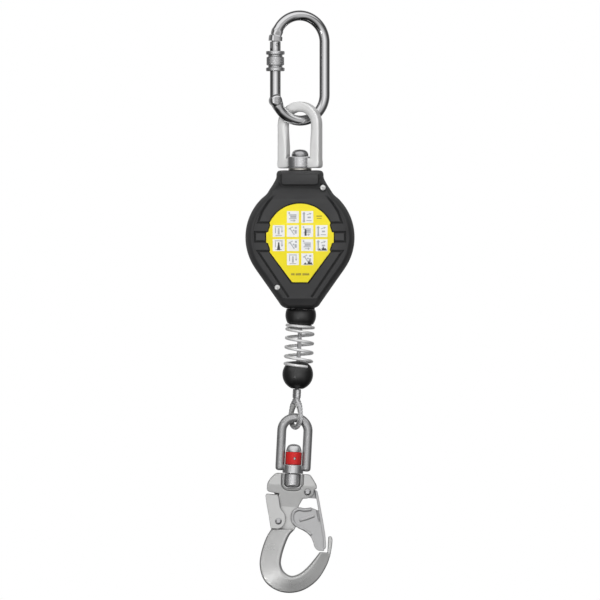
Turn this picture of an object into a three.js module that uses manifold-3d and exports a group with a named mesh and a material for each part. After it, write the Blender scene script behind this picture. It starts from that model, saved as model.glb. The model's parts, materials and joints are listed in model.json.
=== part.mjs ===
// A self retracting lifeline: a screw-gate carabiner, a swivel eye, a drum housing with its brake
// and power spring, and a wire lifeline that ends in a buffered, swivelling double-action hook.
// Millimetres, +Z up, +X to the right of the labelled face, which looks towards -Y.
// The origin is the inner top of the carabiner, the point from which everything hangs.

import * as THREE from 'three';
import Module from 'manifold-3d';
import { mergeVertices } from 'three/addons/utils/BufferGeometryUtils.js';

const wasm = await Module();
wasm.setup();

// ---------------------------------------------------------------- driving dimensions

const GAP = 0.3;                      // running or assembly gap between two pieces

const CARABINER_YAW = 22;             // degrees about Z, from the plane of the housing's face
const CARABINER_BAR = 5.0;            // radius of the bent bar
const CARABINER_BOW = 24.7;           // radius of the two bows' centrelines
const CARABINER_HEIGHT = 107.8;       // over the outside of both bows
const GATE_RADIUS = 5.0;
const GATE_PIN = { x: -24.5, z: -74.5 };
const NOSE_Z = -19.0;                 // underside of the forged nose
const LATCH_PIN_Z = -22.6;
const SLEEVE_TOP = -28.5;
const SLEEVE_LENGTH = 18.6;
const SLEEVE_RADIUS = 8.7;

const SHACKLE_YAW = -28;
const SHACKLE_BAR = 4.8;              // half thickness of the eye's legs
const SHACKLE_HALF = 17.0;            // from the swivel axis to a leg's centreline
const SHACKLE_CROWN = -79.9;          // height of the crown's centreline
const SHACKLE_FOOT = -137.0;          // underside of the eye's base
const BOSS_TOP = -126.2;
const BOSS_RADIUS = 11.8;
const STUD_RADIUS = 5.0;

const DRUM_Z = -201.4;                // height of the drum's axis
const CASE_RADIUS = 50.7;             // round part of the housing
const CASE_TOP = 62.1;                // from the drum's axis up to the housing's top
const CASE_FOOT = -65.9;              // and down to its flat bottom
const CASE_HALF_DEPTH = 32;
const CASE_WALL = 2.7;
const NECK_HALF = 21.8;               // half width of the housing's neck
const FLANK = 35;                     // degrees of the lower flanks from vertical

const DRUM_HALF = 11;                 // half width of the drum over its cheeks
const DRUM_CHEEK = 40;                // radius of the cheeks
const WOUND_RADIUS = 31.6;            // outside of the wound lifeline
const SHAFT_RADIUS = 6;
const CHASSIS = { front: [-27.6, -25.2], rear: [22.6, 25.0] };
const RATCHET_TEETH = 12;
const RATCHET_PHASE = 19;             // degrees from +X to the first tooth's locking face

const LEAN = 2.9;                     // degrees of the hanging lifeline from vertical
const LINE_X = 0.7;                   // where the hanging line crosses the bumper's centre
const LINE_Z = -273.7;
const OUTLET_X = 1.1;                 // axis of the outlet bush
const WIRE_RADIUS = 2;
const LAY_RADIUS = 34;                // wire centreline where it leaves the drum

const BUMPER_RADIUS = 14.3;
const LOWER_BUMPER_Z = -55.1;
const SPRING_MEAN = 12.4;
const SPRING_WIRE = 1.35;
const UPPER_LEDGE = -8.2;             // where the spring bears on the upper buffer, from its centre
const LOWER_LEDGE = 4.6;              // and on the lower one, from its own centre
const EYE_YAW = -62;                  // the wire eye's plane, seen nearly edge-on
const EYE_HALF = 10.4;                // half width of the eye's centreline
const EYE_BOTTOM = -104.8;            // lowest point of the eye's centreline

const BAIL_BAR = 4.25;
const BAIL_HALF = 12.2;
const BAIL_CROWN = -95.6;             // centreline of the bail's crown
const BAIL_FOOT = -143.4;
const COLLAR = [-147.2, -139.4];      // lower and upper face of the bail's collar
const HEAD_TOP = -147.6;              // top of the hook's forged head
const HOOK_PLATE = 4.3;               // half thickness of the hook's neck plate
const HOOK_HEAD = 8.0;                // half thickness of its head and its bow
const STUD_FLANGE = 7.9;              // radius of the stud's flange, and of the boss over it
const GATE_PIVOT = { x: 14.6, z: -163.9 };
const LEVER_PIVOT = { x: -11.0, z: -192.2 };

// ---------------------------------------------------------------- solids

const radians = THREE.MathUtils.degToRad;

function withoutSlivers(geometry) {
  const bare = geometry.clone();
  bare.deleteAttribute('normal');
  bare.deleteAttribute('uv');
  const merged = mergeVertices(bare, 1e-4);
  const kept = [];
  const index = merged.index.array;
  for (let i = 0; i < index.length; i += 3) {
    const [a, b, c] = [index[i], index[i + 1], index[i + 2]];
    if (a !== b && b !== c && c !== a) kept.push(a, b, c);
  }
  merged.setIndex(kept);
  return merged;
}

// Turns every face of a closed surface outward.
function outward(geometry) {
  const clean = withoutSlivers(geometry);
  const index = Array.from(clean.index.array);
  const corner = [new THREE.Vector3(), new THREE.Vector3(), new THREE.Vector3()];
  let volume = 0;
  for (let i = 0; i < index.length; i += 3) {
    corner.forEach((v, k) => v.fromBufferAttribute(clean.attributes.position, index[i + k]));
    volume += corner[0].dot(corner[1].cross(corner[2]));
  }
  if (volume < 0) index.reverse();
  clean.setIndex(index);
  return clean;
}

function toSolid(geometry) {
  const clean = outward(geometry);
  return new wasm.Manifold(new wasm.Mesh({
    numProp: 3,
    vertProperties: new Float32Array(clean.attributes.position.array),
    triVerts: new Uint32Array(clean.index.array),
  }));
}

function toGeometry(solid) {
  const mesh = solid.getMesh();
  const geometry = new THREE.BufferGeometry();
  geometry.setAttribute('position', new THREE.BufferAttribute(mesh.vertProperties, 3));
  geometry.setIndex(new THREE.BufferAttribute(mesh.triVerts, 1));
  return geometry;
}

function combine(method, first, others) {
  return toGeometry(others.reduce((solid, other) => solid[method](toSolid(other)), toSolid(first)));
}
const join = (first, ...others) => combine('add', first, others);
const cut = (first, ...others) => combine('subtract', first, others);
const meet = (first, ...others) => combine('intersect', first, others);

// ---------------------------------------------------------------- basic shapes

const moved = (geometry, x, y, z) => geometry.translate(x, y, z);

function box(x0, x1, y0, y1, z0, z1) {
  const geometry = new THREE.BoxGeometry(x1 - x0, y1 - y0, z1 - z0);
  return moved(geometry, (x0 + x1) / 2, (y0 + y1) / 2, (z0 + z1) / 2);
}

const span = (a, b) => (a < b ? [a, b] : [b, a]);

// A disc or pin along Y.
function discY(x, z, radius, y0, y1, sides = 16) {
  return moved(new THREE.CylinderGeometry(radius, radius, y1 - y0, sides), x, (y0 + y1) / 2, z);
}

// A disc or pin along Z.
function discZ(radius, z0, z1, sides = 16) {
  const geometry = new THREE.CylinderGeometry(radius, radius, z1 - z0, sides).rotateX(Math.PI / 2);
  return moved(geometry, 0, 0, (z0 + z1) / 2);
}

// A turned piece about Z, from [radius, z] points that start and end on the axis or close up.
function turnedZ(profile, sides = 18) {
  const points = profile.map(([r, z]) => new THREE.Vector2(r, z));
  return outward(new THREE.LatheGeometry(points, sides).rotateX(Math.PI / 2));
}

// The same about Y, through the drum's axis, from [radius, y] points.
function turnedY(profile, sides = 16) {
  const points = profile.map(([r, y]) => new THREE.Vector2(r, y));
  return moved(outward(new THREE.LatheGeometry(points, sides)), 0, 0, DRUM_Z);
}

const ring = (inner, outer, low, high) => [
  [inner, low], [outer, low], [outer, high], [inner, high], [inner, low],
];

// A flat outline in X and Z; a third number rounds that corner.
function outline(corners) {
  const shape = new THREE.Shape();
  const count = corners.length;
  corners.forEach(([x, z, radius = 0], i) => {
    const here = new THREE.Vector2(x, z);
    const [px, pz] = corners[(i + count - 1) % count];
    const [nx, nz] = corners[(i + 1) % count];
    const before = new THREE.Vector2(px, pz).sub(here);
    const after = new THREE.Vector2(nx, nz).sub(here);
    const reach = Math.min(radius, before.length() / 2, after.length() / 2);
    const from = before.setLength(reach).add(here);
    const to = after.setLength(reach).add(here);
    if (i === 0) shape.moveTo(from.x, from.y);
    else shape.lineTo(from.x, from.y);
    if (reach > 0) shape.quadraticCurveTo(x, z, to.x, to.y);
  });
  return shape;
}

// A plate with that outline, between two depths along Y.
function plate(shape, y0, y1, segments = 3) {
  const options = { depth: y1 - y0, bevelEnabled: false, curveSegments: segments };
  return moved(new THREE.ExtrudeGeometry(shape, options).rotateX(Math.PI / 2), 0, y1, 0);
}

function polygon(radiusX, radiusY, sides) {
  const points = [];
  for (let i = 0; i < sides; i++) {
    const angle = (i + 0.5) * 2 * Math.PI / sides;
    points.push(new THREE.Vector2(radiusX * Math.cos(angle), radiusY * Math.sin(angle)));
  }
  return new THREE.Shape(points);
}

// A bar of polygonal section along a curve.
function bar(curve, radius, sides, steps) {
  const options = { extrudePath: curve, steps, bevelEnabled: false };
  return new THREE.ExtrudeGeometry(polygon(radius, radius, sides), options);
}

const point = (x, z, y = 0) => new THREE.Vector3(x, y, z);
const arcPoints = (cx, cz, radius, from, to, steps) => Array.from({ length: steps + 1 }, (_, i) => {
  const angle = radians(from + (to - from) * i / steps);
  return point(cx + radius * Math.cos(angle), cz + radius * Math.sin(angle));
});
const smooth = (points) => new THREE.CatmullRomCurve3(points, false, 'centripetal');

class Helix extends THREE.Curve {
  constructor(radius, top, bottom, turns, start = 0) {
    super();
    Object.assign(this, { radius, top, bottom, turns, start });
  }

  getPoint(t) {
    const angle = this.start + t * this.turns * 2 * Math.PI;
    const z = this.top + (this.bottom - this.top) * t;
    return point(this.radius * Math.cos(angle), z, this.radius * Math.sin(angle));
  }
}

// A skin over rings of equally many points, closed by a fan at each end.
function loft(rings) {
  const vertices = [];
  const index = [];
  const size = rings[0].length;
  rings.forEach((points) => points.forEach((p) => vertices.push(p.x, p.y, p.z)));
  for (let r = 0; r + 1 < rings.length; r++) {
    for (let i = 0; i < size; i++) {
      const [a, b] = [r * size + i, r * size + (i + 1) % size];
      index.push(a, b, b + size, a, b + size, a + size);
    }
  }
  for (const [r, flip] of [[0, true], [rings.length - 1, false]]) {
    const middle = new THREE.Vector3();
    rings[r].forEach((p) => middle.addScaledVector(p, 1 / size));
    const centre = vertices.length / 3;
    vertices.push(middle.x, middle.y, middle.z);
    for (let i = 0; i < size; i++) {
      const [a, b] = [r * size + i, r * size + (i + 1) % size];
      index.push(centre, flip ? b : a, flip ? a : b);
    }
  }
  const geometry = new THREE.BufferGeometry();
  geometry.setAttribute('position', new THREE.Float32BufferAttribute(vertices, 3));
  geometry.setIndex(index);
  return outward(geometry);
}

// ---------------------------------------------------------------- finishes

const FINISH = {
  polished: [0xb9bcc0, 0.18, 1.0],
  zinc: [0xcfd1d2, 0.38, 0.9],
  steel: [0x9c9fa3, 0.35, 1.0],
  springSteel: [0x5d6670, 0.4, 1.0],
  brass: [0xb58a3c, 0.35, 1.0],
  casing: [0x3c3d3e, 0.6, 0.0],
  rubber: [0x1c1c1d, 0.8, 0.0],
  nylon: [0xd9d6cc, 0.5, 0.0],
  friction: [0x5b4334, 0.9, 0.0],
  label: [0xf2e02a, 0.45, 0.0],
  indicator: [0xc53030, 0.5, 0.0],
};

function piece(name, geometry, finish) {
  const [color, roughness, metalness] = FINISH[finish];
  const mesh = new THREE.Mesh(geometry, new THREE.MeshStandardMaterial({ color, roughness, metalness }));
  mesh.name = name;
  return mesh;
}

function assembly(...members) {
  const group = new THREE.Group();
  group.add(...members);
  return group;
}

// ---------------------------------------------------------------- carabiner

const bowTop = CARABINER_BAR - CARABINER_BOW;
const bowBottom = bowTop - (CARABINER_HEIGHT - 2 * CARABINER_BAR - 2 * CARABINER_BOW);

function carabinerFrame() {
  const nose = 172;
  const hinge = -164;
  const path = smooth([
    ...arcPoints(0, bowTop, CARABINER_BOW, nose, 0, 12),
    ...arcPoints(0, bowBottom, CARABINER_BOW, 0, hinge, 12),
  ]);
  const forgedNose = plate(outline([
    [-31.4, NOSE_Z, 1.5], [-18.0, NOSE_Z, 1.5], [-17.6, -13.0, 3], [-20.5, -8.2, 2],
    [-25.6, -5.6, 2], [-31.0, -12.6, 3],
  ]), -5.2, 5.2);
  const tongue = plate(outline([
    [-27.8, NOSE_Z + 2], [-27.8, -26.4, 1.5], [-22.0, -26.4, 1], [-22.0, LATCH_PIN_Z - 1.7],
    [-26.2, LATCH_PIN_Z - 1.7, 1], [-26.2, LATCH_PIN_Z + 1.7, 1], [-22.0, LATCH_PIN_Z + 1.7],
    [-22.0, NOSE_Z + 2],
  ]), -1.8, 1.8);
  const fork = discY(GATE_PIN.x, GATE_PIN.z, 5.7, -5.2, 5.2);
  const slot = join(
    discY(GATE_PIN.x, GATE_PIN.z, 5.0, -2.4, 2.4),
    box(GATE_PIN.x - 5.0, GATE_PIN.x + 10, -2.4, 2.4, GATE_PIN.z - 1.5, GATE_PIN.z + 9),
  );
  const gateRoom = box(-32, -17, -7, 7, -67.2, NOSE_Z - 8);
  const solid = join(bar(path, CARABINER_BAR, 12, 34), forgedNose, tongue, fork);
  return cut(solid, slot, gateRoom, discY(GATE_PIN.x, GATE_PIN.z, 1.6 + GAP, -7, 7, 12));
}

function carabinerGate() {
  const body = moved(discZ(GATE_RADIUS, GATE_PIN.z + 2, NOSE_Z - GAP - 0.2), -CARABINER_BOW, 0, 0);
  const shoulder = discY(GATE_PIN.x, GATE_PIN.z, 6.1, -7, 7);
  const tail = join(
    discY(GATE_PIN.x, GATE_PIN.z, 4.5, -2.1, 2.1),
    box(GATE_PIN.x - 4.4, GATE_PIN.x + 4.0, -2.1, 2.1, GATE_PIN.z, GATE_PIN.z + 8),
  );
  const latchSlot = box(-32, -17, -2.1, 2.1, -27.4, -15);
  return cut(
    join(cut(body, shoulder), tail),
    latchSlot,
    discY(-CARABINER_BOW, LATCH_PIN_Z, 1.3 + GAP, -7, 7, 12),
    discY(GATE_PIN.x, GATE_PIN.z, 1.6 + GAP, -7, 7, 12),
  );
}

function screwSleeve() {
  const bottom = SLEEVE_TOP - SLEEVE_LENGTH;
  const bore = GATE_RADIUS + GAP;
  const waist = SLEEVE_RADIUS - 2.1;
  const flange = 3.0;
  const band = 3.6;
  const middle = (SLEEVE_TOP + bottom) / 2;
  return moved(turnedZ([
    [bore, bottom], [SLEEVE_RADIUS - 0.8, bottom], [SLEEVE_RADIUS, bottom + 0.8],
    [SLEEVE_RADIUS, bottom + flange], [waist, bottom + flange + 0.7],
    [waist, middle - band - 0.7], [SLEEVE_RADIUS - 0.5, middle - band],
    [SLEEVE_RADIUS - 0.5, middle + band], [waist, middle + band + 0.7],
    [waist, SLEEVE_TOP - flange - 0.7], [SLEEVE_RADIUS, SLEEVE_TOP - flange],
    [SLEEVE_RADIUS, SLEEVE_TOP - 0.8], [SLEEVE_RADIUS - 0.8, SLEEVE_TOP], [bore, SLEEVE_TOP],
    [bore, bottom],
  ], 16), -CARABINER_BOW, 0, 0);
}

const carabiner = assembly(
  piece('carabiner_frame', carabinerFrame(), 'polished'),
  piece('gate_hinge_pin', discY(GATE_PIN.x, GATE_PIN.z, 1.6, -5.1, 5.1, 16), 'polished'),
  piece('carabiner_gate', carabinerGate(), 'polished'),
  piece('gate_latch_pin', discY(-CARABINER_BOW, LATCH_PIN_Z, 1.3, -4.7, 4.7, 16), 'polished'),
  piece('screw_sleeve', screwSleeve(), 'zinc'),
);
carabiner.rotation.z = radians(CARABINER_YAW);

// ---------------------------------------------------------------- swivel eye and its stud

function swivelShackle() {
  const arch = SHACKLE_CROWN - SHACKLE_HALF;
  const legFoot = SHACKLE_FOOT + SHACKLE_BAR;
  const path = smooth([
    point(-SHACKLE_HALF, legFoot), point(-SHACKLE_HALF, (arch + legFoot) / 2),
    ...arcPoints(0, arch, SHACKLE_HALF, 180, 0, 14),
    point(SHACKLE_HALF, (arch + legFoot) / 2), point(SHACKLE_HALF, legFoot),
  ]);
  const reach = SHACKLE_HALF + SHACKLE_BAR;
  const base = plate(outline([
    [-reach, SHACKLE_FOOT, 3], [reach, SHACKLE_FOOT, 3], [reach, BOSS_TOP - 3],
    [reach - 2 * SHACKLE_BAR, BOSS_TOP - 1, 2], [-reach + 2 * SHACKLE_BAR, BOSS_TOP - 1, 2],
    [-reach, BOSS_TOP - 3],
  ]), -SHACKLE_BAR, SHACKLE_BAR);
  const boss = turnedZ([
    [0, SHACKLE_FOOT], [BOSS_RADIUS - 0.8, SHACKLE_FOOT], [BOSS_RADIUS, SHACKLE_FOOT + 0.8],
    [BOSS_RADIUS, BOSS_TOP - 1], [BOSS_RADIUS - 1, BOSS_TOP], [0, BOSS_TOP],
  ]);
  const solid = join(bar(path, SHACKLE_BAR, 10, 20), base, boss);
  return cut(solid, discZ(STUD_RADIUS + GAP, SHACKLE_FOOT - 1, BOSS_TOP + 1));
}

const caseTop = DRUM_Z + CASE_TOP;
const washerTop = SHACKLE_FOOT - GAP;
const nutTop = caseTop - CASE_WALL - 13.2;

function swivelStud() {
  const under = BOSS_TOP + GAP;
  const foot = nutTop - 9.5;
  return turnedZ([
    [0, foot], [STUD_RADIUS - 0.8, foot], [STUD_RADIUS, foot + 0.8], [STUD_RADIUS, under],
    [7.9, under], [7.9, under + 1.4], [7.2, under + 3.6], [5.2, under + 5.4], [2.6, under + 6.2],
    [0, under + 6.4],
  ]);
}

function hexNut(radius, hole, z0, z1) {
  const hexagon = new THREE.CylinderGeometry(radius, radius, z1 - z0, 6).rotateX(Math.PI / 2);
  return cut(moved(hexagon, 0, 0, (z0 + z1) / 2), discZ(hole, z0 - 1, z1 + 1));
}

const shackle = assembly(piece('swivel_eye', swivelShackle(), 'zinc'));
shackle.rotation.z = radians(SHACKLE_YAW);

const swivel = assembly(
  piece('swivel_stud', swivelStud(), 'steel'),
  piece('thrust_washer', turnedZ(ring(STUD_RADIUS + GAP, 10.8, caseTop + GAP, washerTop)), 'brass'),
  piece('swivel_nut', hexNut(9.2, STUD_RADIUS + GAP, nutTop - 8, nutTop - GAP), 'steel'),
);

// ---------------------------------------------------------------- housing

// The housing's outline, pulled in by an inset, at one depth.
function caseRing(inset, y) {
  const radius = CASE_RADIUS - inset;
  const flank = radians(FLANK);
  const right = [
    [NECK_HALF - 2.4 - inset * 0.6, CASE_TOP - inset],
    [NECK_HALF - 0.5 - inset, CASE_TOP - 1.2 - inset],
    [NECK_HALF - inset, CASE_TOP - 3.4 - inset],
    [NECK_HALF + 0.2 - inset, 55.5 - inset * 0.2],
    [24.4 - inset * 0.9, 50.4 - inset * 0.4],
    [27.6 - inset * 0.85, 45.4 - inset * 0.6],
  ];
  for (let angle = 52; angle >= -FLANK; angle -= 87 / 8) {
    right.push([radius * Math.cos(radians(angle)), radius * Math.sin(radians(angle))]);
  }
  const low = CASE_FOOT + inset;
  const run = (-low - radius * Math.sin(flank)) / Math.cos(flank);
  const footX = radius * Math.cos(flank) - run * Math.sin(flank);
  right.push([footX + 2.6 * Math.sin(flank), low + 2.6 * Math.cos(flank)], [footX - 2, low]);
  const left = right.map(([x, z]) => [-x, z]).reverse();
  return [...right, ...left].map(([x, z]) => point(x, z + DRUM_Z, y));
}

// One half of the casing; side is -1 at the front and 1 at the rear.
function caseShell(side) {
  const face = side * CASE_HALF_DEPTH;
  const skin = loft([
    caseRing(0, side * GAP / 2), caseRing(0, side * 25.5), caseRing(1.3, side * 29.2),
    caseRing(4.0, side * 31.2), caseRing(6.8, face),
  ]);
  const hollow = loft([
    caseRing(CASE_WALL, -side), caseRing(CASE_WALL, side * 24.4),
    caseRing(CASE_WALL + 1.6, side * 27.4), caseRing(CASE_WALL + 5, side * (CASE_HALF_DEPTH - CASE_WALL)),
  ]);
  const topBore = discZ(STUD_RADIUS + 0.6, caseTop - 6, caseTop + 2);
  const outlet = moved(discZ(8.5, DRUM_Z + CASE_FOOT - 3, DRUM_Z + CASE_FOOT + 9), OUTLET_X, 0, 0);
  return cut(skin, hollow, topBore, outlet);
}

// The label's outline: a round top, stepped sides and a tapering foot, about the drum's axis.
function labelShape(grow = 0) {
  const radius = 31 + grow;
  const shape = new THREE.Shape();
  const high = 13 + DRUM_Z;
  const from = Math.asin(13 / radius);
  shape.absarc(0, DRUM_Z, radius, from, Math.PI - from, false);
  const half = radius * Math.cos(from);
  const left = [
    [-half + 1.2, high - 2], [-half - 2 - grow, DRUM_Z + 4.6], [-half - 3 - grow, DRUM_Z + 4.2],
    [-half - 3 - grow, DRUM_Z - 5.2], [-half - 2 - grow, DRUM_Z - 5.6], [-half + 0.8, high - 24.6],
    [-half - 0.2, high - 26.8], [-7.4 - grow, DRUM_Z - 41.8 - grow],
  ];
  left.forEach(([x, z]) => shape.lineTo(x, z));
  left.reverse().forEach(([x, z]) => shape.lineTo(-x, z));
  return shape;
}

// Where the four long screws sit: two driven from the front, two from the rear.
const SCREWS = [
  { name: 'cover_screw_1', x: 21.2, z: -155.6, side: -1 },
  { name: 'cover_screw_2', x: -21.0, z: -248.0, side: -1 },
  { name: 'cover_screw_3', x: -21.2, z: -155.6, side: 1 },
  { name: 'cover_screw_4', x: 21.0, z: -248.0, side: 1 },
];
const POST = 4.4;

function coverScrew({ x, z, side }) {
  const head = side * (CASE_HALF_DEPTH - 1.1);
  const under = side * (CASE_HALF_DEPTH - 3.2);
  const ends = [
    [0, head], [2.5, head - side * 0.5], [2.5, under], [1.5, under],
    [1.5, -side * 20], [0, -side * 20],
  ];
  return moved(turnedY(ends, 12), x, 0, z - DRUM_Z);
}

function coverWithPosts(side) {
  const reach = side * (CASE_HALF_DEPTH - 2);
  let shell = caseShell(side);
  for (const { x, z } of SCREWS) {
    const [y0, y1] = span(side * GAP / 2, reach);
    shell = join(shell, discY(x, z, POST, y0, y1, 8));
  }
  for (const screw of SCREWS) {
    shell = cut(shell, discY(screw.x, screw.z, 1.5 + GAP, -21, 21, 10));
    if (screw.side !== side) continue;
    shell = cut(
      shell,
      discY(screw.x, screw.z, 1.5 + GAP, -CASE_HALF_DEPTH, CASE_HALF_DEPTH, 10),
      discY(screw.x, screw.z, 2.5 + GAP, ...span(side * (CASE_HALF_DEPTH - 3.5), side * 40), 12),
    );
  }
  return shell;
}

// Half of the collar under the outlet, square to the hanging line, that the upper buffer comes up to.
function outletSeat(side) {
  const foot = moved(discZ(12.6, 5.2 + GAP, 9.5, 32).rotateY(radians(LEAN)), LINE_X, 0, LINE_Z);
  const half = box(-20, 20, ...span(side * GAP / 2, side * 20), -272, DRUM_Z + CASE_FOOT + 1);
  return meet(foot, half);
}

const outletBore = discZ(8.2 + GAP, -280, DRUM_Z + CASE_FOOT + CASE_WALL, 18)
  .translate(OUTLET_X, 0, 0);

function frontCover() {
  const face = -CASE_HALF_DEPTH;
  const cover = cut(
    join(coverWithPosts(-1), outletSeat(-1)),
    plate(labelShape(GAP), face - 1, face + 0.9, 7), outletBore,
  );
  const grooves = [];
  for (const side of [-1, 1]) {
    for (const z of [13, -13.8]) {
      grooves.push(box(...span(side * 29.5, side * 39.5), face - 1, face + 0.6,
        DRUM_Z + z - 0.4, DRUM_Z + z + 0.4));
    }
    for (const z of [4.2, -4.9]) {
      grooves.push(box(...span(side * 33, side * 42), face - 1, face + 0.6,
        DRUM_Z + z - 0.4, DRUM_Z + z + 0.4));
    }
  }
  grooves.push(box(-18.6, 18.6, face - 1, face + 1.1, -156.5, -152.6));
  return cut(cover, ...grooves);
}

function rearCover() {
  const face = CASE_HALF_DEPTH;
  const ribs = [-24, -12, 12, 24].map((z) => DRUM_Z + z)
    .map((z) => box(-26, 26, face - 0.8, face + 1, z - 0.6, z + 0.6));
  return cut(join(coverWithPosts(1), outletSeat(1)), ...ribs, outletBore);
}

const labelPlate = plate(labelShape(), -CASE_HALF_DEPTH - 0.1, -CASE_HALF_DEPTH + 0.6, 7);

// ---------------------------------------------------------------- load frame inside the housing

function chassisPlate([y0, y1], bearing) {
  const shape = outline([
    [-15.2, -144.8, 2], [15.2, -144.8, 2], [15.2, -160, 4], [13, -176, 6], [13, -226, 6],
    [8, -236, 4], [-8, -236, 4], [-13, -226, 6], [-13, -176, 6], [-15.2, -160, 4],
  ]);
  const bores = [
    discY(0, DRUM_Z, bearing, y0 - 1, y1 + 1),
    discY(0, -231, 2 + GAP, y0 - 1, y1 + 1, 12),
    ...[-11, 11].map((x) => discY(x, -151, 2.5 + GAP, y0 - 1, y1 + 1, 12)),
  ];
  return cut(plate(shape, y0, y1), ...bores);
}

function swivelBlock() {
  const [y0, y1] = [CHASSIS.front[1] + GAP, CHASSIS.rear[0] - GAP];
  const body = box(-16.4, 16.4, y0, y1, nutTop, caseTop - CASE_WALL - GAP);
  const bolts = [-11, 11].map((x) => discY(x, -151, 2.5 + GAP, y0 - 1, y1 + 1, 12));
  return cut(body, discZ(STUD_RADIUS + GAP, nutTop - 1, caseTop), ...bolts);
}

function frameBolt(x, z, radius) {
  const [y0, y1] = [CHASSIS.front[0] - 0.9, CHASSIS.rear[1] + 0.9];
  return moved(turnedY([
    [0, y0], [radius + 0.9, y0], [radius + 0.9, CHASSIS.front[0] - GAP], [radius, CHASSIS.front[0] - GAP],
    [radius, CHASSIS.rear[1] + GAP], [radius + 0.9, CHASSIS.rear[1] + GAP], [radius + 0.9, y1], [0, y1],
  ], 10), x, 0, z - DRUM_Z);
}

function mainShaft() {
  const [y0, y1] = [CHASSIS.front[0] - 1.0, CHASSIS.rear[1] + 2.6];
  return turnedY([
    [0, y0], [SHAFT_RADIUS + 1.6, y0], [SHAFT_RADIUS + 1.6, CHASSIS.front[0] - GAP],
    [SHAFT_RADIUS, CHASSIS.front[0] - GAP], [SHAFT_RADIUS, CHASSIS.rear[1] + 0.5],
    [SHAFT_RADIUS - 0.8, CHASSIS.rear[1] + 0.5], [SHAFT_RADIUS - 0.8, CHASSIS.rear[1] + 1.7],
    [SHAFT_RADIUS, CHASSIS.rear[1] + 1.7], [SHAFT_RADIUS, y1], [0, y1],
  ], 24);
}

function shaftCirclip() {
  const low = CHASSIS.rear[1] + 0.6;
  const clip = turnedY(ring(SHAFT_RADIUS - 0.5, SHAFT_RADIUS + 2, low, low + 1));
  return cut(clip, box(-2.6, 2.6, low - 1, low + 2, DRUM_Z - 12, DRUM_Z - 2));
}

const ratchetRoot = 39.5;
const ratchetTip = 35.2;

// A ring with saw teeth on its inside, fixed to the rear of the load frame.
function ratchetRing() {
  const shape = new THREE.Shape();
  shape.absarc(0, DRUM_Z, 43.4, 0, 2 * Math.PI, false);
  const hole = new THREE.Path();
  const pitch = 2 * Math.PI / RATCHET_TEETH;
  for (let i = 0; i <= RATCHET_TEETH; i++) {
    const angle = radians(RATCHET_PHASE) + i * pitch;
    const tip = [ratchetTip * Math.cos(angle), ratchetTip * Math.sin(angle) + DRUM_Z];
    const root = [ratchetRoot * Math.cos(angle + 0.04), ratchetRoot * Math.sin(angle + 0.04) + DRUM_Z];
    if (i === 0) hole.moveTo(...tip);
    else hole.lineTo(...tip);
    if (i < RATCHET_TEETH) hole.lineTo(...root);
  }
  shape.holes.push(hole);
  const body = plate(shape, 16.2, 19.6, 9);
  const spokes = join(
    box(-12, 12, 19.4, CHASSIS.rear[0] - GAP, DRUM_Z - 42, DRUM_Z - 36),
    box(-12, 12, 19.4, CHASSIS.rear[0] - GAP, DRUM_Z + 36, DRUM_Z + 42),
  );
  return join(body, spokes);
}

// The coiled strip that pulls the line back in.
function powerSpring() {
  const turns = 4;
  const steps = 14;
  const [inner, outer, half] = [11.6, 34.6, 0.45];
  const side = (offset) => Array.from({ length: turns * steps + 1 }, (_, i) => {
    const t = i / (turns * steps);
    const radius = inner + (outer - inner) * t + offset;
    const angle = t * turns * 2 * Math.PI;
    return new THREE.Vector2(radius * Math.cos(angle), radius * Math.sin(angle) + DRUM_Z);
  });
  return plate(new THREE.Shape([...side(half), ...side(-half).reverse()]), -22.6, -14.4);
}

function springCup() {
  return turnedY([
    [SHAFT_RADIUS + 5, -13.8], [SHAFT_RADIUS + 5, -12.6], [38.4, -12.6], [38.4, -23], [36.6, -23],
    [36.6, -13.8], [SHAFT_RADIUS + 5, -13.8],
  ]);
}

const springLid = turnedY(ring(SHAFT_RADIUS + GAP, 38.4, -24.7, -23.3));

// ---------------------------------------------------------------- drum

function woundWire() {
  const inner = 22 + GAP;
  const half = DRUM_HALF - 1.6 - GAP;
  const turns = 4;
  const profile = [[inner, -half], [WOUND_RADIUS - 2, -half]];
  for (let i = 0; i < turns; i++) {
    const middle = -half + (i + 0.5) * 2 * half / turns;
    const quarter = half / turns * 0.5;
    profile.push([WOUND_RADIUS, middle - quarter], [WOUND_RADIUS, middle + quarter]);
    if (i < turns - 1) profile.push([WOUND_RADIUS - 2, middle + half / turns]);
  }
  profile.push([WOUND_RADIUS - 2, half], [inner, half], [inner, -half]);
  return turnedY(profile);
}

const drumBush = (low, high) => turnedY(ring(SHAFT_RADIUS + 0.1, 9.7, low, high), 24);

// Carries the two pawls and squeezes the friction disc against the drum.
function pawlPlate() {
  const body = turnedY(ring(SHAFT_RADIUS + GAP, 33, 12.9, 15.2));
  return cut(body, ...[1, -1].map((s) => discY(s * 22, DRUM_Z, 2 + GAP, 12, 17, 16)));
}

function pawl() {
  const shape = outline([
    [26.6, 0.6, 2.5], [26.0, -3.6, 3], [19.5, -4.0, 2.5], [18.0, 2, 2.5], [19.5, 8, 2], [24.6, 16.8, 1],
    [28.6, 18.4, 0.4], [30.2, 15.6, 0.6],
  ]);
  const body = plate(shape, 16.4, 19.4);
  return cut(body, discY(22, 0, 2 + GAP, 15, 21, 12));
}

function pawlSpring() {
  const coil = bar(new Helix(3.0, -1.3, 1.3, 2), 0.4, 4, 20).rotateX(Math.PI / 2);
  return moved(coil, 13.2, 17.9, 6.5);
}

// Places a copy of a pawl's piece on one side of the drum's axis.
function aroundDrum(geometry, turn) {
  return moved(geometry.rotateY(turn * Math.PI), 0, 0, DRUM_Z);
}

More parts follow.
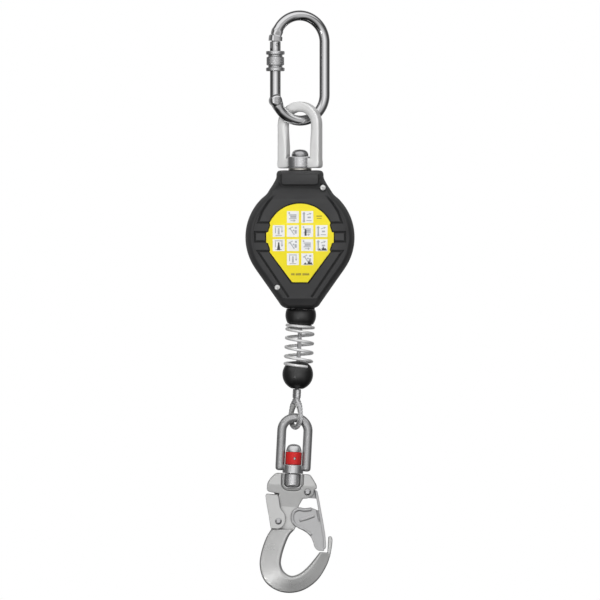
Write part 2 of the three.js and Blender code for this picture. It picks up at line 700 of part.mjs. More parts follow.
function pawlSet(number, turn) {
  return [
    piece(`brake_pawl_${number}`, aroundDrum(pawl(), turn), 'steel'),
    piece(`pawl_pin_${number}`, aroundDrum(discY(22, 0, 2, 13.1, 20.4, 16), turn), 'springSteel'),
    piece(`pawl_spring_${number}`, aroundDrum(pawlSpring(), turn), 'springSteel'),
  ];
}

const housing = assembly(
  piece('front_cover', frontCover(), 'casing'),
  piece('rear_cover', rearCover(), 'casing'),
  piece('front_label', labelPlate, 'label'),
  ...SCREWS.map((screw) => piece(screw.name, coverScrew(screw), 'steel')),
  piece('chassis_front', chassisPlate(CHASSIS.front, SHAFT_RADIUS + GAP), 'zinc'),
  piece('chassis_rear', chassisPlate(CHASSIS.rear, SHAFT_RADIUS + GAP), 'zinc'),
  piece('swivel_block', swivelBlock(), 'steel'),
  piece('frame_bolt_1', frameBolt(-11, -151, 2.5), 'steel'),
  piece('frame_bolt_2', frameBolt(11, -151, 2.5), 'steel'),
  piece('main_shaft', mainShaft(), 'steel'),
  piece('shaft_circlip', shaftCirclip(), 'springSteel'),
  piece('ratchet_ring', ratchetRing(), 'steel'),
  piece('power_spring', powerSpring(), 'springSteel'),
  piece('spring_cup', springCup(), 'nylon'),
  piece('spring_lid', springLid, 'nylon'),
  piece('cable_guide', cableGuide(), 'nylon'),
);

const drum = assembly(
  piece('cable_drum', turnedY([
    [10, -DRUM_HALF], [DRUM_CHEEK, -DRUM_HALF], [DRUM_CHEEK, -DRUM_HALF + 1.6], [22, -DRUM_HALF + 1.6],
    [22, DRUM_HALF - 1.6 - GAP], [10, DRUM_HALF - 1.6 - GAP], [10, -DRUM_HALF],
  ]), 'nylon'),
  piece('drum_cheek', turnedY(ring(10, DRUM_CHEEK, DRUM_HALF - 1.6, DRUM_HALF)), 'zinc'),
  piece('wound_lifeline', woundWire(), 'steel'),
  piece('drum_bush_1', drumBush(-DRUM_HALF, -DRUM_HALF + 8), 'brass'),
  piece('drum_bush_2', drumBush(DRUM_HALF - 8, DRUM_HALF), 'brass'),
  piece('friction_disc', turnedY(ring(SHAFT_RADIUS + 4.3, 31, DRUM_HALF + GAP, 12.6)), 'friction'),
  piece('pawl_plate', pawlPlate(), 'steel'),
  ...pawlSet(1, 0),
  ...pawlSet(2, 1),
);

// ---------------------------------------------------------------- lifeline and its buffers

// Wire from the drum, round the outlet and down the leaning line, in the line's own frame.
const lean = radians(LEAN);
function toLine(x, z) {
  const [dx, dz] = [x - LINE_X, z - LINE_Z];
  return point(dx * Math.cos(lean) - dz * Math.sin(lean), dx * Math.sin(lean) + dz * Math.cos(lean));
}

const OUTLET_Z = 11;                  // where the wire is straight on the line, above the bumper
const FERRULE = [-77.2, -68.9];

function lifelineWire() {
  const outlet = point(0, OUTLET_Z + 7);
  const axis = toLine(0, DRUM_Z);
  const away = new THREE.Vector2(axis.x - outlet.x, axis.z - outlet.z);
  const slope = Math.atan2(away.y, away.x) - Math.asin(LAY_RADIUS / away.length());
  const reach = Math.sqrt(away.lengthSq() - LAY_RADIUS ** 2);
  const along = (d) => point(outlet.x + d * Math.cos(slope), outlet.z + d * Math.sin(slope));
  const path = smooth([
    along(reach), along(reach * 0.72), along(reach * 0.45), along(reach * 0.2), along(6),
    point(0.35, OUTLET_Z + 2.5), point(0, OUTLET_Z - 4), point(0, -20), point(0, FERRULE[1] - 3),
  ]);
  return bar(path, WIRE_RADIUS, 6, 22);
}

// The outlet bush, flared upward so that the wire can bend over it.
function cableGuide() {
  const floor = DRUM_Z + CASE_FOOT + CASE_WALL + GAP;
  const foot = DRUM_Z + CASE_FOOT + GAP;
  return moved(turnedZ([
    [3.3, foot], [8.2, foot], [8.2, floor], [10.4, floor], [10.4, floor + 1.6], [6.6, floor + 1.6],
    [4.4, floor], [3.3, foot],
  ]), OUTLET_X, 0, 0);
}

function upperBumper() {
  const [flat, ledge, spigot] = [-10.4, UPPER_LEDGE, 10.6];
  const profile = [[WIRE_RADIUS + 0.5, flat], [spigot - 0.6, flat], [spigot, flat + 0.6], [spigot, ledge]];
  const start = Math.asin(ledge / BUMPER_RADIUS);
  const crown = 5.2;
  const end = Math.asin(crown / BUMPER_RADIUS);
  for (let i = 0; i <= 7; i++) {
    const angle = start + (end - start) * i / 7;
    profile.push([BUMPER_RADIUS * Math.cos(angle), BUMPER_RADIUS * Math.sin(angle)]);
  }
  profile.push([WIRE_RADIUS + 0.5, crown], [WIRE_RADIUS + 0.5, flat]);
  return turnedZ(profile);
}

function lowerBumper() {
  const [ledge, crown, spigot] = [LOWER_LEDGE, 12.2, 10.6];
  const profile = [[WIRE_RADIUS + 0.5, -13.4], [4.9, -13.4]];
  const start = Math.acos(4.9 / BUMPER_RADIUS);
  const end = -Math.asin(ledge / BUMPER_RADIUS);
  for (let i = 0; i <= 9; i++) {
    const angle = start + (end - start) * i / 9;
    profile.push([BUMPER_RADIUS * Math.cos(angle), -BUMPER_RADIUS * Math.sin(angle)]);
  }
  profile.push([spigot, ledge], [spigot, crown - 5.0], [spigot - 1.1, crown - 3.1], [spigot - 3.4, crown - 1.1],
    [spigot - 6.6, crown], [WIRE_RADIUS + 0.5, crown], [WIRE_RADIUS + 0.5, -13.4]);
  return moved(turnedZ(profile), 0, 0, LOWER_BUMPER_Z);
}

function bumperSpring() {
  const top = UPPER_LEDGE - SPRING_WIRE - GAP;
  const bottom = LOWER_BUMPER_Z + LOWER_LEDGE + SPRING_WIRE + GAP;
  return bar(new Helix(SPRING_MEAN, top, bottom, 5.1, Math.PI), SPRING_WIRE, 5, 62);
}

function ferrule() {
  const [low, high] = FERRULE;
  const shape = polygon(5.3, 4.4, 12);
  const body = new THREE.ExtrudeGeometry(shape, { depth: high - low, bevelEnabled: false });
  return cut(
    moved(body, 0, 0, low),
    moved(discZ(WIRE_RADIUS + 0.2, low + 4, high + 1), 0, 0, 0),
    box(-4.35, 4.35, -WIRE_RADIUS - 0.2, WIRE_RADIUS + 0.2, low - 1, low + 3.4),
  );
}

function wireEye() {
  const centre = EYE_BOTTOM + EYE_HALF;
  const high = FERRULE[0] + 3;
  const path = smooth([
    point(-2.1, high), point(-2.2, FERRULE[0] - 0.6), point(-EYE_HALF * 0.72, centre + EYE_HALF * 0.95),
    ...arcPoints(0, centre, EYE_HALF, 166, 374, 12),
    point(EYE_HALF * 0.72, centre + EYE_HALF * 0.95), point(2.2, FERRULE[0] - 0.6), point(2.1, high),
  ]);
  return bar(path, WIRE_RADIUS - 0.05, 6, 26);
}

// A pressed channel that lines the inside of the wire eye.
function thimble() {
  const centre = EYE_BOTTOM + EYE_HALF;
  const path = smooth([
    point(-4.0, centre + 10.2), ...arcPoints(0, centre, EYE_HALF - WIRE_RADIUS - 1.05, 160, 380, 12),
    point(4.0, centre + 10.2),
  ]);
  return bar(path, 0.75, 5, 18);
}

const eye = assembly(
  piece('ferrule', ferrule(), 'zinc'),
  piece('wire_eye', wireEye(), 'steel'),
  piece('thimble', thimble(), 'zinc'),
);
eye.rotation.z = radians(EYE_YAW);

const buffers = assembly(
  piece('lifeline_wire', lifelineWire(), 'steel'),
  piece('upper_bumper', upperBumper(), 'rubber'),
  piece('bumper_spring', bumperSpring(), 'zinc'),
  piece('lower_bumper', lowerBumper(), 'rubber'),
  eye,
);

// ---------------------------------------------------------------- hook

function hookBail() {
  const arch = BAIL_CROWN - BAIL_HALF;
  const path = smooth([
    point(-BAIL_HALF, BAIL_FOOT), point(-BAIL_HALF, (arch + BAIL_FOOT) / 2),
    ...arcPoints(0, arch, BAIL_HALF, 180, 0, 12),
    point(BAIL_HALF, (arch + BAIL_FOOT) / 2), point(BAIL_HALF, BAIL_FOOT),
  ]);
  const radius = 9.7;
  const collar = turnedZ([
    [0, COLLAR[0]], [radius - 0.7, COLLAR[0]], [radius, COLLAR[0] + 0.7], [radius, COLLAR[1] - 0.7],
    [radius - 0.7, COLLAR[1]], [0, COLLAR[1]],
  ]);
  return cut(join(bar(path, BAIL_BAR, 9, 20), collar), discZ(4.5 + GAP, COLLAR[0] - 1, COLLAR[1] + 1));
}

const BAND = [COLLAR[1] + GAP, COLLAR[1] + 12];

function hookStud() {
  const [low, neck] = [-159.6, -151.2];
  const top = -119.8;
  return turnedZ([
    [0, low], [7.2, low], [7.9, low + 0.7], [7.9, neck - 0.7], [7.2, neck], [4.5, neck],
    [4.5, BAND[1] + GAP], [6.7, BAND[1] + GAP], [6.7, top - 3.4], [5.8, top - 1.5], [3.6, top - 0.4],
    [0, top],
  ]);
}

const indicatorBand = cut(
  turnedZ(ring(4.5 + GAP, 7.7, ...BAND)),
  discY(1.2, (BAND[0] + BAND[1]) / 2, 1.0 + GAP, -9, 0, 12),
);
const indicatorPin = discY(1.2, (BAND[0] + BAND[1]) / 2, 1.0, -7.8, -4.7, 12);

// Points of the bow's outer and inner edges, from the neck round to the nose.
const outerEdge = smooth([
  point(-17.0, -199.5), point(-21.4, -207.6), point(-25.6, -222), point(-26.4, -234.5), point(-21.8, -247.6),
  point(-12.6, -255.3), point(-0.5, -258.5), point(14.0, -255.8), point(27.6, -245.6), point(36.4, -230.0),
  point(39.2, -219.4),
]);
const innerEdge = smooth([
  point(4.0, -199.5), point(0.2, -204.4), point(-3.4, -213.5), point(-6.2, -224.8), point(-6.6, -232.0),
  point(-3.6, -238.8), point(3.2, -242.6), point(10.4, -240.4), point(17.6, -234.2), point(24.4, -225.4),
  point(28.6, -219.4),
]);

// The forged bow: thick near the inner edge, falling away to the outer edge like a cone.
function hookBow() {
  const stations = 16;
  const rings = [];
  for (let i = 0; i <= stations; i++) {
    const outer = outerEdge.getPoint(i / stations);
    const inner = innerEdge.getPoint(i / stations);
    const at = (share, y) => outer.clone().lerp(inner, share).setY(y);
    rings.push([
      at(0, -4.6), at(0.06, -5.4), at(0.82, -HOOK_HEAD), at(0.9, -HOOK_HEAD), at(1, -6.0),
      at(1, 6.0), at(0.9, HOOK_HEAD), at(0.82, HOOK_HEAD), at(0.06, 5.4), at(0, 4.6),
    ]);
  }
  return loft(rings);
}

function hookBody() {
  const head = plate(outline([
    [-15.6, HEAD_TOP, 2], [16.2, HEAD_TOP, 2], [19.8, -152.4, 1], [23.0, -157.6, 2], [23.0, -160.6, 1],
    [20.6, -161.4, 1], [20.4, -166.0, 3], [16.0, -169.8, 3], [8.6, -170.4, 2], [5.0, -167, 3],
    [-13.6, -166.2, 1], [-21.4, -164.8, 1], [-23.3, -163.6, 1], [-23.4, -157.4, 3], [-20.1, -152.2, 2],
  ]), -HOOK_HEAD, HOOK_HEAD);
  const neck = plate(outline([
    [-15.6, -163], [18, -163], [14, -169.0, 2], [11.2, -169.6, 1], [6.4, -178.4, 3], [7.6, -192, 4],
    [4.0, -199.9, 1], [0.8, -203.4], [-17.4, -203.4], [-15.2, -196, 2], [-16.4, -170],
  ]), -HOOK_PLATE, HOOK_PLATE);
  const lip = plate(outline([
    [35.9, -224], [38.6, -222.6], [39.9, -213, 4], [40.1, -206.6, 1.5], [39.0, -204.1, 1],
    [36.0, -204.1, 1.5],
  ]), -5.2, 5.2);
  const pocket = outline([
    [-10.4, HEAD_TOP + 1], [-10.4, -163.6, 9], [10.4, -163.6, 9], [10.4, HEAD_TOP + 1],
  ]);
  const boss = discZ(STUD_FLANGE, -151.2 + GAP, HEAD_TOP, 24);
  const shoulders = [-1, 1].map((side) => loft([-163, -178].map((z, i) => {
    const lift = i ? HOOK_PLATE - 0.4 : HOOK_HEAD - 0.1;
    return [[-9.2, 0], [9.2 - 3 * i, 0], [9.2 - 3 * i, side * lift], [-9.2, side * lift]]
      .map(([x, y]) => new THREE.Vector3(x, y, z));
  })));
  const lugSlot = join(
    discY(GATE_PIVOT.x, GATE_PIVOT.z, 7.0, -3.3, 3.3),
    box(GATE_PIVOT.x, 30, -3.3, 3.3, -172, -158.2),
    box(GATE_PIVOT.x - 6.6, 30, -3.3, 3.3, -172, GATE_PIVOT.z),
  );
  const leverSlot = box(-20, LEVER_PIVOT.x + 5, -2.1, 2.1, LEVER_PIVOT.z - 5, LEVER_PIVOT.z + 5);
  return cut(
    join(
      cut(join(head, neck, ...shoulders, hookBow(), lip), plate(pocket, -12, -2.6, 6), plate(pocket, 2.6, 12, 6)),
      boss,
    ),
    discZ(STUD_FLANGE + GAP, -159.6 - GAP, -151.2 + GAP, 24),
    discZ(4.5 + GAP, -153, HEAD_TOP + 2),
    lugSlot,
    leverSlot,
    discY(GATE_PIVOT.x, GATE_PIVOT.z, 2 + GAP, -12, 12, 12),
    discY(LEVER_PIVOT.x, LEVER_PIVOT.z, 2 + GAP, -12, 12, 12),
  );
}

function hookGate() {
  const half = 6.2;
  const strip = plate(outline([
    [21.6, -161.8, 0.6], [23.7, -162.6, 1], [25.2, -168.0], [28.0, -180.0], [31.2, -193.8], [33.0, -202.1],
    [34.4, -212.3, 1], [34.2, -215.4, 0.8], [32.0, -215.4], [31.4, -206.0], [28.8, -194.0],
    [25.6, -180.4], [22.8, -168.6],
  ]), -half, half);
  const shape = outline([
    [26.0, -181.0], [18.5, -178.3, 2], [12.1, -179.5, 1], [6.6, -178.8, 2], [1.6, -182.0, 3],
    [0.2, -187.1, 4], [1.8, -193.6, 3], [7.0, -197.6, 3], [14.0, -200.4, 4], [19.4, -204.6, 4],
    [22.2, -210.0, 4], [23.4, -214.4, 2], [26.4, -217.6, 2], [32.4, -218.0, 1], [33.6, -213.4],
    [32.4, -204.0], [30.0, -194.0],
  ]);
  const cheeks = [-1, 1].map((s) => plate(shape, ...span(s * 4.6, s * half)));
  const lug = join(
    discY(GATE_PIVOT.x, GATE_PIVOT.z, 5.6, -3.0, -0.2),
    plate(outline([
      [GATE_PIVOT.x, GATE_PIVOT.z + 5.5], [22.4, -162.4], [23.6, -169.6], [GATE_PIVOT.x, GATE_PIVOT.z - 5.5],
    ]), -3.0, -0.2),
  );
  return cut(join(strip, ...cheeks, lug), discY(GATE_PIVOT.x, GATE_PIVOT.z, 2 + GAP, -12, 12, 12));
}

function lockLever() {
  const half = 8.1;
  const strip = plate(outline([
    [-22.6, -168.4, 0.6], [-24.4, -169.0, 1], [-22.8, -177.0], [-20.4, -187.0], [-18.6, -195.6],
    [-17.8, -199.6, 0.8], [-15.9, -199.0, 0.6], [-16.6, -195.0], [-18.4, -187.0], [-20.8, -177.0],
  ]), -half, half);
  const shape = outline([
    [-23.4, -168.2], [-12.4, -168.6, 2], [-9.8, -180.4, 3], [-4.8, -185.6, 3], [-4.6, -194.4, 4],
    [-9.0, -199.4, 3], [-17.0, -199.4], [-18.0, -194.0], [-20.2, -184.0],
  ]);
  const cheeks = [-1, 1].map((s) => plate(shape, ...span(s * 6.5, s * half)));
  return cut(join(strip, ...cheeks), discY(LEVER_PIVOT.x, LEVER_PIVOT.z, 2 + GAP, -12, 12, 12));
}

function hookRivet(pivot, half) {
  return moved(turnedY([
    [0, -half - 1.5], [1.6, -half - 1.3], [2.9, -half - 0.5], [2.9, -half], [2, -half], [2, half],
    [2.9, half], [2.9, half + 0.5], [1.6, half + 1.3], [0, half + 1.5],
  ], 12), pivot.x, 0, pivot.z - DRUM_Z);
}

function torsionSpring(pivot, from, to) {
  const coil = bar(new Helix(3.1, from, to, 2.2), 0.5, 4, 22).rotateX(-Math.PI / 2);
  return moved(coil, pivot.x, 0, pivot.z);
}

const hook = assembly(
  piece('hook_bail', hookBail(), 'zinc'),
  piece('hook_stud', hookStud(), 'steel'),
  piece('fall_indicator', indicatorBand, 'indicator'),
  piece('indicator_pin', indicatorPin, 'steel'),
  piece('hook_body', hookBody(), 'zinc'),
  piece('hook_gate', hookGate(), 'zinc'),
  piece('lock_lever', lockLever(), 'zinc'),
  piece('gate_rivet', hookRivet(GATE_PIVOT, HOOK_HEAD + GAP), 'steel'),
  piece('lever_rivet', hookRivet(LEVER_PIVOT, 8.1 + GAP), 'steel'),
  piece('gate_spring', torsionSpring(GATE_PIVOT, 0.7, 2.6), 'springSteel'),
  piece('lever_spring', torsionSpring(LEVER_PIVOT, -1.0, 1.0), 'springSteel'),
);

const line = assembly(buffers, hook);
line.position.set(LINE_X, 0, LINE_Z);
line.rotation.y = lean;

// ---------------------------------------------------------------- whole object

export default assembly(carabiner, shackle, swivel, housing, drum, line);
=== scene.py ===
"""A self retracting lifeline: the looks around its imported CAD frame.

Pieces are modelled in millimetres, each in its own assembly's frame, and placed in metres.
"""
import json
import math
from contextlib import contextmanager

import bmesh
import bpy
from mathutils import Matrix, Vector


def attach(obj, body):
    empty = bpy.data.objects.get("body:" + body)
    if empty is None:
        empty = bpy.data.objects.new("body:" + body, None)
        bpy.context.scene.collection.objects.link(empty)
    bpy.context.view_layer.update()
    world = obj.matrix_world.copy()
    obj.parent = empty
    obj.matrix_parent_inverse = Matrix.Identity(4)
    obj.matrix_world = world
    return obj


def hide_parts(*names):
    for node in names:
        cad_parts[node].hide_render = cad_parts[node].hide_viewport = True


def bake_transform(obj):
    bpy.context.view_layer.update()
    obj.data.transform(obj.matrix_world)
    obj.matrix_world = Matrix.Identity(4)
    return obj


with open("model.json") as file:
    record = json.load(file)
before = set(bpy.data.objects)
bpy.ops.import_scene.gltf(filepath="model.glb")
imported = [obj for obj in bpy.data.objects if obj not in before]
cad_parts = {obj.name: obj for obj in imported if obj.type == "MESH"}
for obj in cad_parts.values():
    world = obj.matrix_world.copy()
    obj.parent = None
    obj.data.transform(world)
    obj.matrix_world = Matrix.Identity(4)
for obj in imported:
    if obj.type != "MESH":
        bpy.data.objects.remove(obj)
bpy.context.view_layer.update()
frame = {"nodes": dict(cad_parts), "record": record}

MM = 0.001
TAU = 2 * math.pi
Y_AXIS = Vector((0, 1, 0))

# ---------------------------------------------------------------- dimensions of the object, in mm

DRUM_Z = -201.4
BAR = 5.0                             # the carabiner's bar, its radius
BAR_DRAWN = BAR - 0.22                # the same with clearance for the eye that rolls on it
BOW = 24.7                            # its bows' centreline radius
BOW_TOP = BAR - BOW
BOW_BOTTOM = BOW_TOP - 48.4
NOSE_Z = -19.0
GATE_PIN = (-24.5, -74.5)
LATCH_PIN_Z = -22.6
SLEEVE_TOP = -28.5
SLEEVE_BOTTOM = -47.1
SLEEVE_RADIUS = 8.7
EYE_BAR = 4.8
EYE_SPREAD = 17.0
EYE_ARCH = -96.9
EYE_FOOT = -137.0
BOSS_TOP = -126.2
BOSS_RADIUS = 11.8
CASE_TOP = 62.1
CASE_FOOT = -65.9
CASE_RADIUS = 50.7
FLANK = math.radians(35)
FACE = 31.2                           # the covers' main face, from the middle plane
RIM_TOP = 31.9                        # the top of the rim round it
MOAT_FLOOR = 28.7                     # the channel round the raised block under the eye
LINE_ORIGIN = (0.7, 0, -273.7)
LINE_LEAN = math.radians(2.9)
WIRE = 2.0
WIRE_BORE = WIRE + 0.5
BUMPER = 14.3
COIL_RADIUS = 12.4
LOWER_BUMPER_Z = -55.1
FERRULE = (-77.2, -68.9)
LOOP_HALF = 10.4
LOOP_CENTRE = -94.4
BAIL_BAR = 4.25
BAIL_HALF = 12.2
BAIL_ARCH = -107.8
COLLAR = (-147.2, -139.4)
GATE_PIVOT = (14.6, -163.9)
LEVER_PIVOT = (-11.0, -192.2)
RIVET_BORE = 2.3
HEAD = 8.0                            # half thickness of the hook's head and bow
NECK = 4.3                            # half thickness of its neck
SLOPE_TOP, SLOPE_FOOT = -158.0, -178.5

WORLD = Matrix.Identity(4)
CARABINER = Matrix.Rotation(math.radians(22), 4, "Z")
SHACKLE = Matrix.Rotation(math.radians(-28), 4, "Z")
DRUM = Matrix.Translation((0, 0, DRUM_Z))
LINE = Matrix.Translation(LINE_ORIGIN) @ Matrix.Rotation(LINE_LEAN, 4, "Y")
LOOP = LINE @ Matrix.Rotation(math.radians(-62), 4, "Z")

# ---------------------------------------------------------------- camera, stage and light


def aim(obj, place, target):
    obj.location = place
    obj.rotation_euler = (Vector(target) - Vector(place)).to_track_quat("-Z", "Y").to_euler()
    bpy.context.scene.collection.objects.link(obj)
    return obj


MIDDLE = Vector((0, 0, -0.2596))
FRAME_WIDTH = 0.558
CAMERA_DISTANCE = 6.0

camera_data = bpy.data.cameras.new("camera")
camera_data.sensor_width = 36
camera_data.lens = 36 * CAMERA_DISTANCE / FRAME_WIDTH
camera_data.clip_end = 100
camera_place = MIDDLE + Vector((0, -CAMERA_DISTANCE, 0))
camera = aim(bpy.data.objects.new("camera", camera_data), camera_place, MIDDLE)
bpy.context.scene.camera = camera
bpy.context.scene.view_settings.view_transform = "Standard"


def softbox(name, place, size, watts, reflected=False):
    light = bpy.data.lights.new(name, "AREA")
    light.shape = "RECTANGLE"
    light.size, light.size_y = size
    light.energy = watts
    lamp = aim(bpy.data.objects.new(name, light), place, MIDDLE)
    lamp.visible_glossy = reflected
    return lamp


softbox("key_light", (-0.85, -2.8, 0.9), (1.0, 1.3), 58)
softbox("fill_light", (0.9, -2.8, 0.1), (0.8, 1.4), 19)
softbox("top_light", (0.1, -0.8, 2.0), (1.2, 0.8), 10)
softbox("back_light", (0.3, 2.9, 0.7), (1.2, 1.2), 34)
softbox("low_light", (-0.92, -2.25, -1.22), (0.26, 0.26), 1.9, reflected=True)


class Nodes:
    """A short way to write a node tree: each call makes a node, sets its values and returns it."""

    def __init__(self, tree):
        tree.nodes.clear()
        self.tree = tree

    def new(self, kind, inputs=(), **settings):
        node = self.tree.nodes.new(kind)
        for key, value in settings.items():
            setattr(node, key, value)
        for key, value in dict(inputs).items():
            if isinstance(value, bpy.types.NodeSocket):
                self.tree.links.new(value, node.inputs[key])
            else:
                node.inputs[key].default_value = value
        return node

    def math(self, operation, a, b=0.0):
        return self.new("ShaderNodeMath", {0: a, 1: b}, operation=operation).outputs[0]

    def mapped(self, value, low, high, to_low, to_high, smooth=False):
        kind = "SMOOTHSTEP" if smooth else "LINEAR"
        inputs = {"Value": value, "From Min": low, "From Max": high, "To Min": to_low, "To Max": to_high}
        return self.new("ShaderNodeMapRange", inputs, interpolation_type=kind).outputs["Result"]

    def mix(self, factor, a, b):
        """Two colours mixed. Their sockets go by number, since the node has several called A and B."""
        node = self.new("ShaderNodeMix", {"Factor": factor}, data_type="RGBA")
        for socket, value in ((node.inputs[6], a), (node.inputs[7], b)):
            if isinstance(value, bpy.types.NodeSocket):
                self.tree.links.new(value, socket)
            else:
                socket.default_value = value
        return node.outputs[2]

    def ramp(self, value, stops):
        node = self.new("ShaderNodeValToRGB", {"Fac": value})
        elements = node.color_ramp.elements
        while len(elements) < len(stops):
            elements.new(0.5)
        for element, (place, level) in zip(elements, stops):
            element.position = place
            element.color = (level, level, level, 1)
        return node.outputs["Color"]


def studio_world():
    """White to the camera, even to matt surfaces, a studio of light and dark panels in reflections."""
    world = bpy.data.worlds.new("studio")
    bpy.context.scene.world = world
    world.use_nodes = True
    n = Nodes(world.node_tree)
    direction = n.new("ShaderNodeTexCoord").outputs["Generated"]
    axes = n.new("ShaderNodeSeparateXYZ", {"Vector": direction})
    facing = n.mapped(axes.outputs["Y"], -1, 1, 0, 1)
    panels = n.ramp(facing, [
        (0.0, 1.0), (0.025, 0.92), (0.07, 0.52), (0.16, 0.27), (0.36, 0.08), (0.62, 0.05), (0.82, 0.12),
        (0.93, 0.40), (1.0, 0.5),
    ])
    front = n.mapped(axes.outputs["Y"], -0.25, 0.2, 1.0, 0.0, smooth=True)
    lamps = n.mapped(axes.outputs["Z"], 0.30, 0.62, 0.0, 0.95, smooth=True)
    for side, level in ((-1, 0.75), (1, 0.55)):
        across = n.math("MULTIPLY", axes.outputs["X"], side)
        strip = n.math("MULTIPLY", n.mapped(across, 0.52, 0.60, 0.0, level, smooth=True),
                       n.mapped(across, 0.70, 0.78, 1.0, 0.0, smooth=True))
        lamps = n.math("MAXIMUM", lamps, strip)
    bright = n.math("MAXIMUM", panels, n.math("MULTIPLY", lamps, front))
    below = n.mapped(axes.outputs["Z"], -0.80, -0.25, 0.10, 1.0, smooth=True)
    shaded = n.math("MULTIPLY", bright, below)
    path = n.new("ShaderNodeLightPath")
    even = n.mix(path.outputs["Is Glossy Ray"], (0.16, 0.16, 0.16, 1), shaded)
    seen = n.mix(path.outputs["Is Camera Ray"], even, (1, 1, 1, 1))
    background = n.new("ShaderNodeBackground", {"Color": seen, "Strength": 1.0})
    n.new("ShaderNodeOutputWorld", {"Surface": background.outputs[0]})


studio_world()

# ---------------------------------------------------------------- materials

materials = {}


def surface(name, color, roughness, metallic=0.0, spread=0.05, tint=0.08, grain=900.0, bump=0.15,
            depth=0.00004, stretch=(1, 1, 1), wear=0.0, painted_shade=0.0, gloss=0.5, crevice=0.005, unshaded_share=0.85):
    """A procedural finish: mottled colour and roughness, a fine grain, worn edges and painted shade in
    crevices.
    The painted shade darkens the colour where less than the given open share of the surroundings is open within
    the crevice distance."""
    material = bpy.data.materials.new(name)
    material.use_nodes = True
    n = Nodes(material.node_tree)
    place = n.new("ShaderNodeTexCoord").outputs["Object"]
    stretched = n.new("ShaderNodeMapping", {"Vector": place, "Scale": stretch}).outputs[0]
    fine = n.new("ShaderNodeTexNoise", {"Vector": stretched, "Scale": grain, "Detail": 4.0, "Roughness": 0.6})
    broad = n.new("ShaderNodeTexNoise", {"Vector": place, "Scale": 45.0, "Detail": 3.0, "Roughness": 0.55})
    dark = tuple(c * (1 - tint) for c in color) + (1,)
    light = tuple(min(1, c * (1 + tint)) for c in color) + (1,)
    tone = n.mix(n.mapped(broad.outputs["Fac"], 0.3, 0.7, 0, 1), dark, light)
    tone = n.mix(n.mapped(fine.outputs["Fac"], 0.35, 0.65, 0, 0.35), tone, dark)
    if wear:
        edges = n.new("ShaderNodeNewGeometry").outputs["Pointiness"]
        worn = tuple(min(1, c * 1.3 + wear * 0.1) for c in color) + (1,)
        tone = n.mix(n.mapped(edges, 0.52, 0.62, 0, wear), tone, worn)
    # Painted shade: ambient occlusion darkens the colour in crevices, recesses and gaps between parts, where
    # shade falls.
    if painted_shade:
        open_sky = n.new("ShaderNodeAmbientOcclusion", {"Distance": crevice}, samples=6).outputs["AO"]
        shade_colour = tuple(c * (1 - painted_shade) for c in color) + (1,)
        tone = n.mix(n.mapped(open_sky, unshaded_share - 0.5, unshaded_share, 0, 1, smooth=True), shade_colour, tone)
    rough = n.math("ADD", n.mapped(broad.outputs["Fac"], 0.3, 0.7, roughness - spread, roughness + spread),
                   n.mapped(fine.outputs["Fac"], 0.3, 0.7, -spread * 0.5, spread * 0.5))
    relief = n.new("ShaderNodeBump", {"Height": fine.outputs["Fac"], "Strength": bump, "Distance": depth})
    shader = n.new("ShaderNodeBsdfPrincipled", {
        "Base Color": tone, "Roughness": rough, "Metallic": metallic, "Normal": relief.outputs[0],
    })
    shader.inputs["Specular IOR Level"].default_value = gloss
    n.new("ShaderNodeOutputMaterial", {"Surface": shader.outputs[0]})
    material.diffuse_color = color + (1,)
    materials[name] = material


# The crevice darkening amounts set for the finishes below are painted shade.
surface("polished", (0.80, 0.80, 0.81), 0.11, 1, spread=0.03, tint=0.03, grain=1500, bump=0.04, painted_shade=0.3)
surface("zinc", (0.80, 0.80, 0.79), 0.36, 0.6, tint=0.05, grain=1300, bump=0.22, wear=0.25, painted_shade=0.5)
surface("satin", (0.88, 0.88, 0.875), 0.46, 0.3, tint=0.04, grain=1500, bump=0.15, wear=0.3, painted_shade=0.5)
surface("turned", (0.74, 0.74, 0.75), 0.24, 0.9, grain=60, stretch=(1, 1, 40), bump=0.12, painted_shade=0.3)
surface("bail", (0.50, 0.50, 0.505), 0.32, 0.75, tint=0.05, bump=0.2, painted_shade=0.4)
surface("hook_zinc", (0.60, 0.60, 0.595), 0.31, 0.8, tint=0.06, grain=1100, bump=0.30, wear=0.35, painted_shade=0.6)
surface("steel", (0.56, 0.56, 0.57), 0.28, 1, spread=0.06, tint=0.07, grain=1200, painted_shade=0.5)
surface("rope", (0.84, 0.84, 0.85), 0.42, 0.8, spread=0.06, grain=1600, bump=0.2, painted_shade=0.3)
surface("washer", (0.80, 0.78, 0.72), 0.24, 1, bump=0.1)
surface("coil", (0.92, 0.92, 0.92), 0.34, 0.45, tint=0.04, grain=1500, bump=0.08, painted_shade=0.25)
surface("spring_steel", (0.36, 0.40, 0.44), 0.35, 1)
surface("brass", (0.71, 0.54, 0.24), 0.30, 1)
# The casing's painted shade reaches 16 mm, darkening the valley under the raised block and the grooves.
surface("casing", (0.047, 0.047, 0.048), 0.50, spread=0.06, tint=0.12, grain=2300, bump=0.55,
        depth=0.00009, wear=0.30, painted_shade=0.8, gloss=0.2, crevice=0.016, unshaded_share=0.99)
surface("rubber", (0.012, 0.012, 0.012), 0.34, spread=0.06, tint=0.2, grain=1500, bump=0.2,
        painted_shade=0.5, gloss=0.9)
surface("nylon", (0.80, 0.78, 0.72), 0.45)
surface("friction", (0.30, 0.21, 0.15), 0.85)
surface("label", (0.90, 0.76, 0.022), 0.42, spread=0.04, tint=0.04, grain=700, bump=0.06)
surface("tile", (0.88, 0.88, 0.88), 0.42, spread=0.04, tint=0.03, grain=700, bump=0.06)
surface("ink", (0.06, 0.06, 0.065), 0.45, spread=0.04, tint=0.1)
surface("grey_ink", (0.42, 0.43, 0.45), 0.45, spread=0.04, tint=0.1)
surface("amber_ink", (0.38, 0.31, 0.03), 0.45, spread=0.04, tint=0.1)
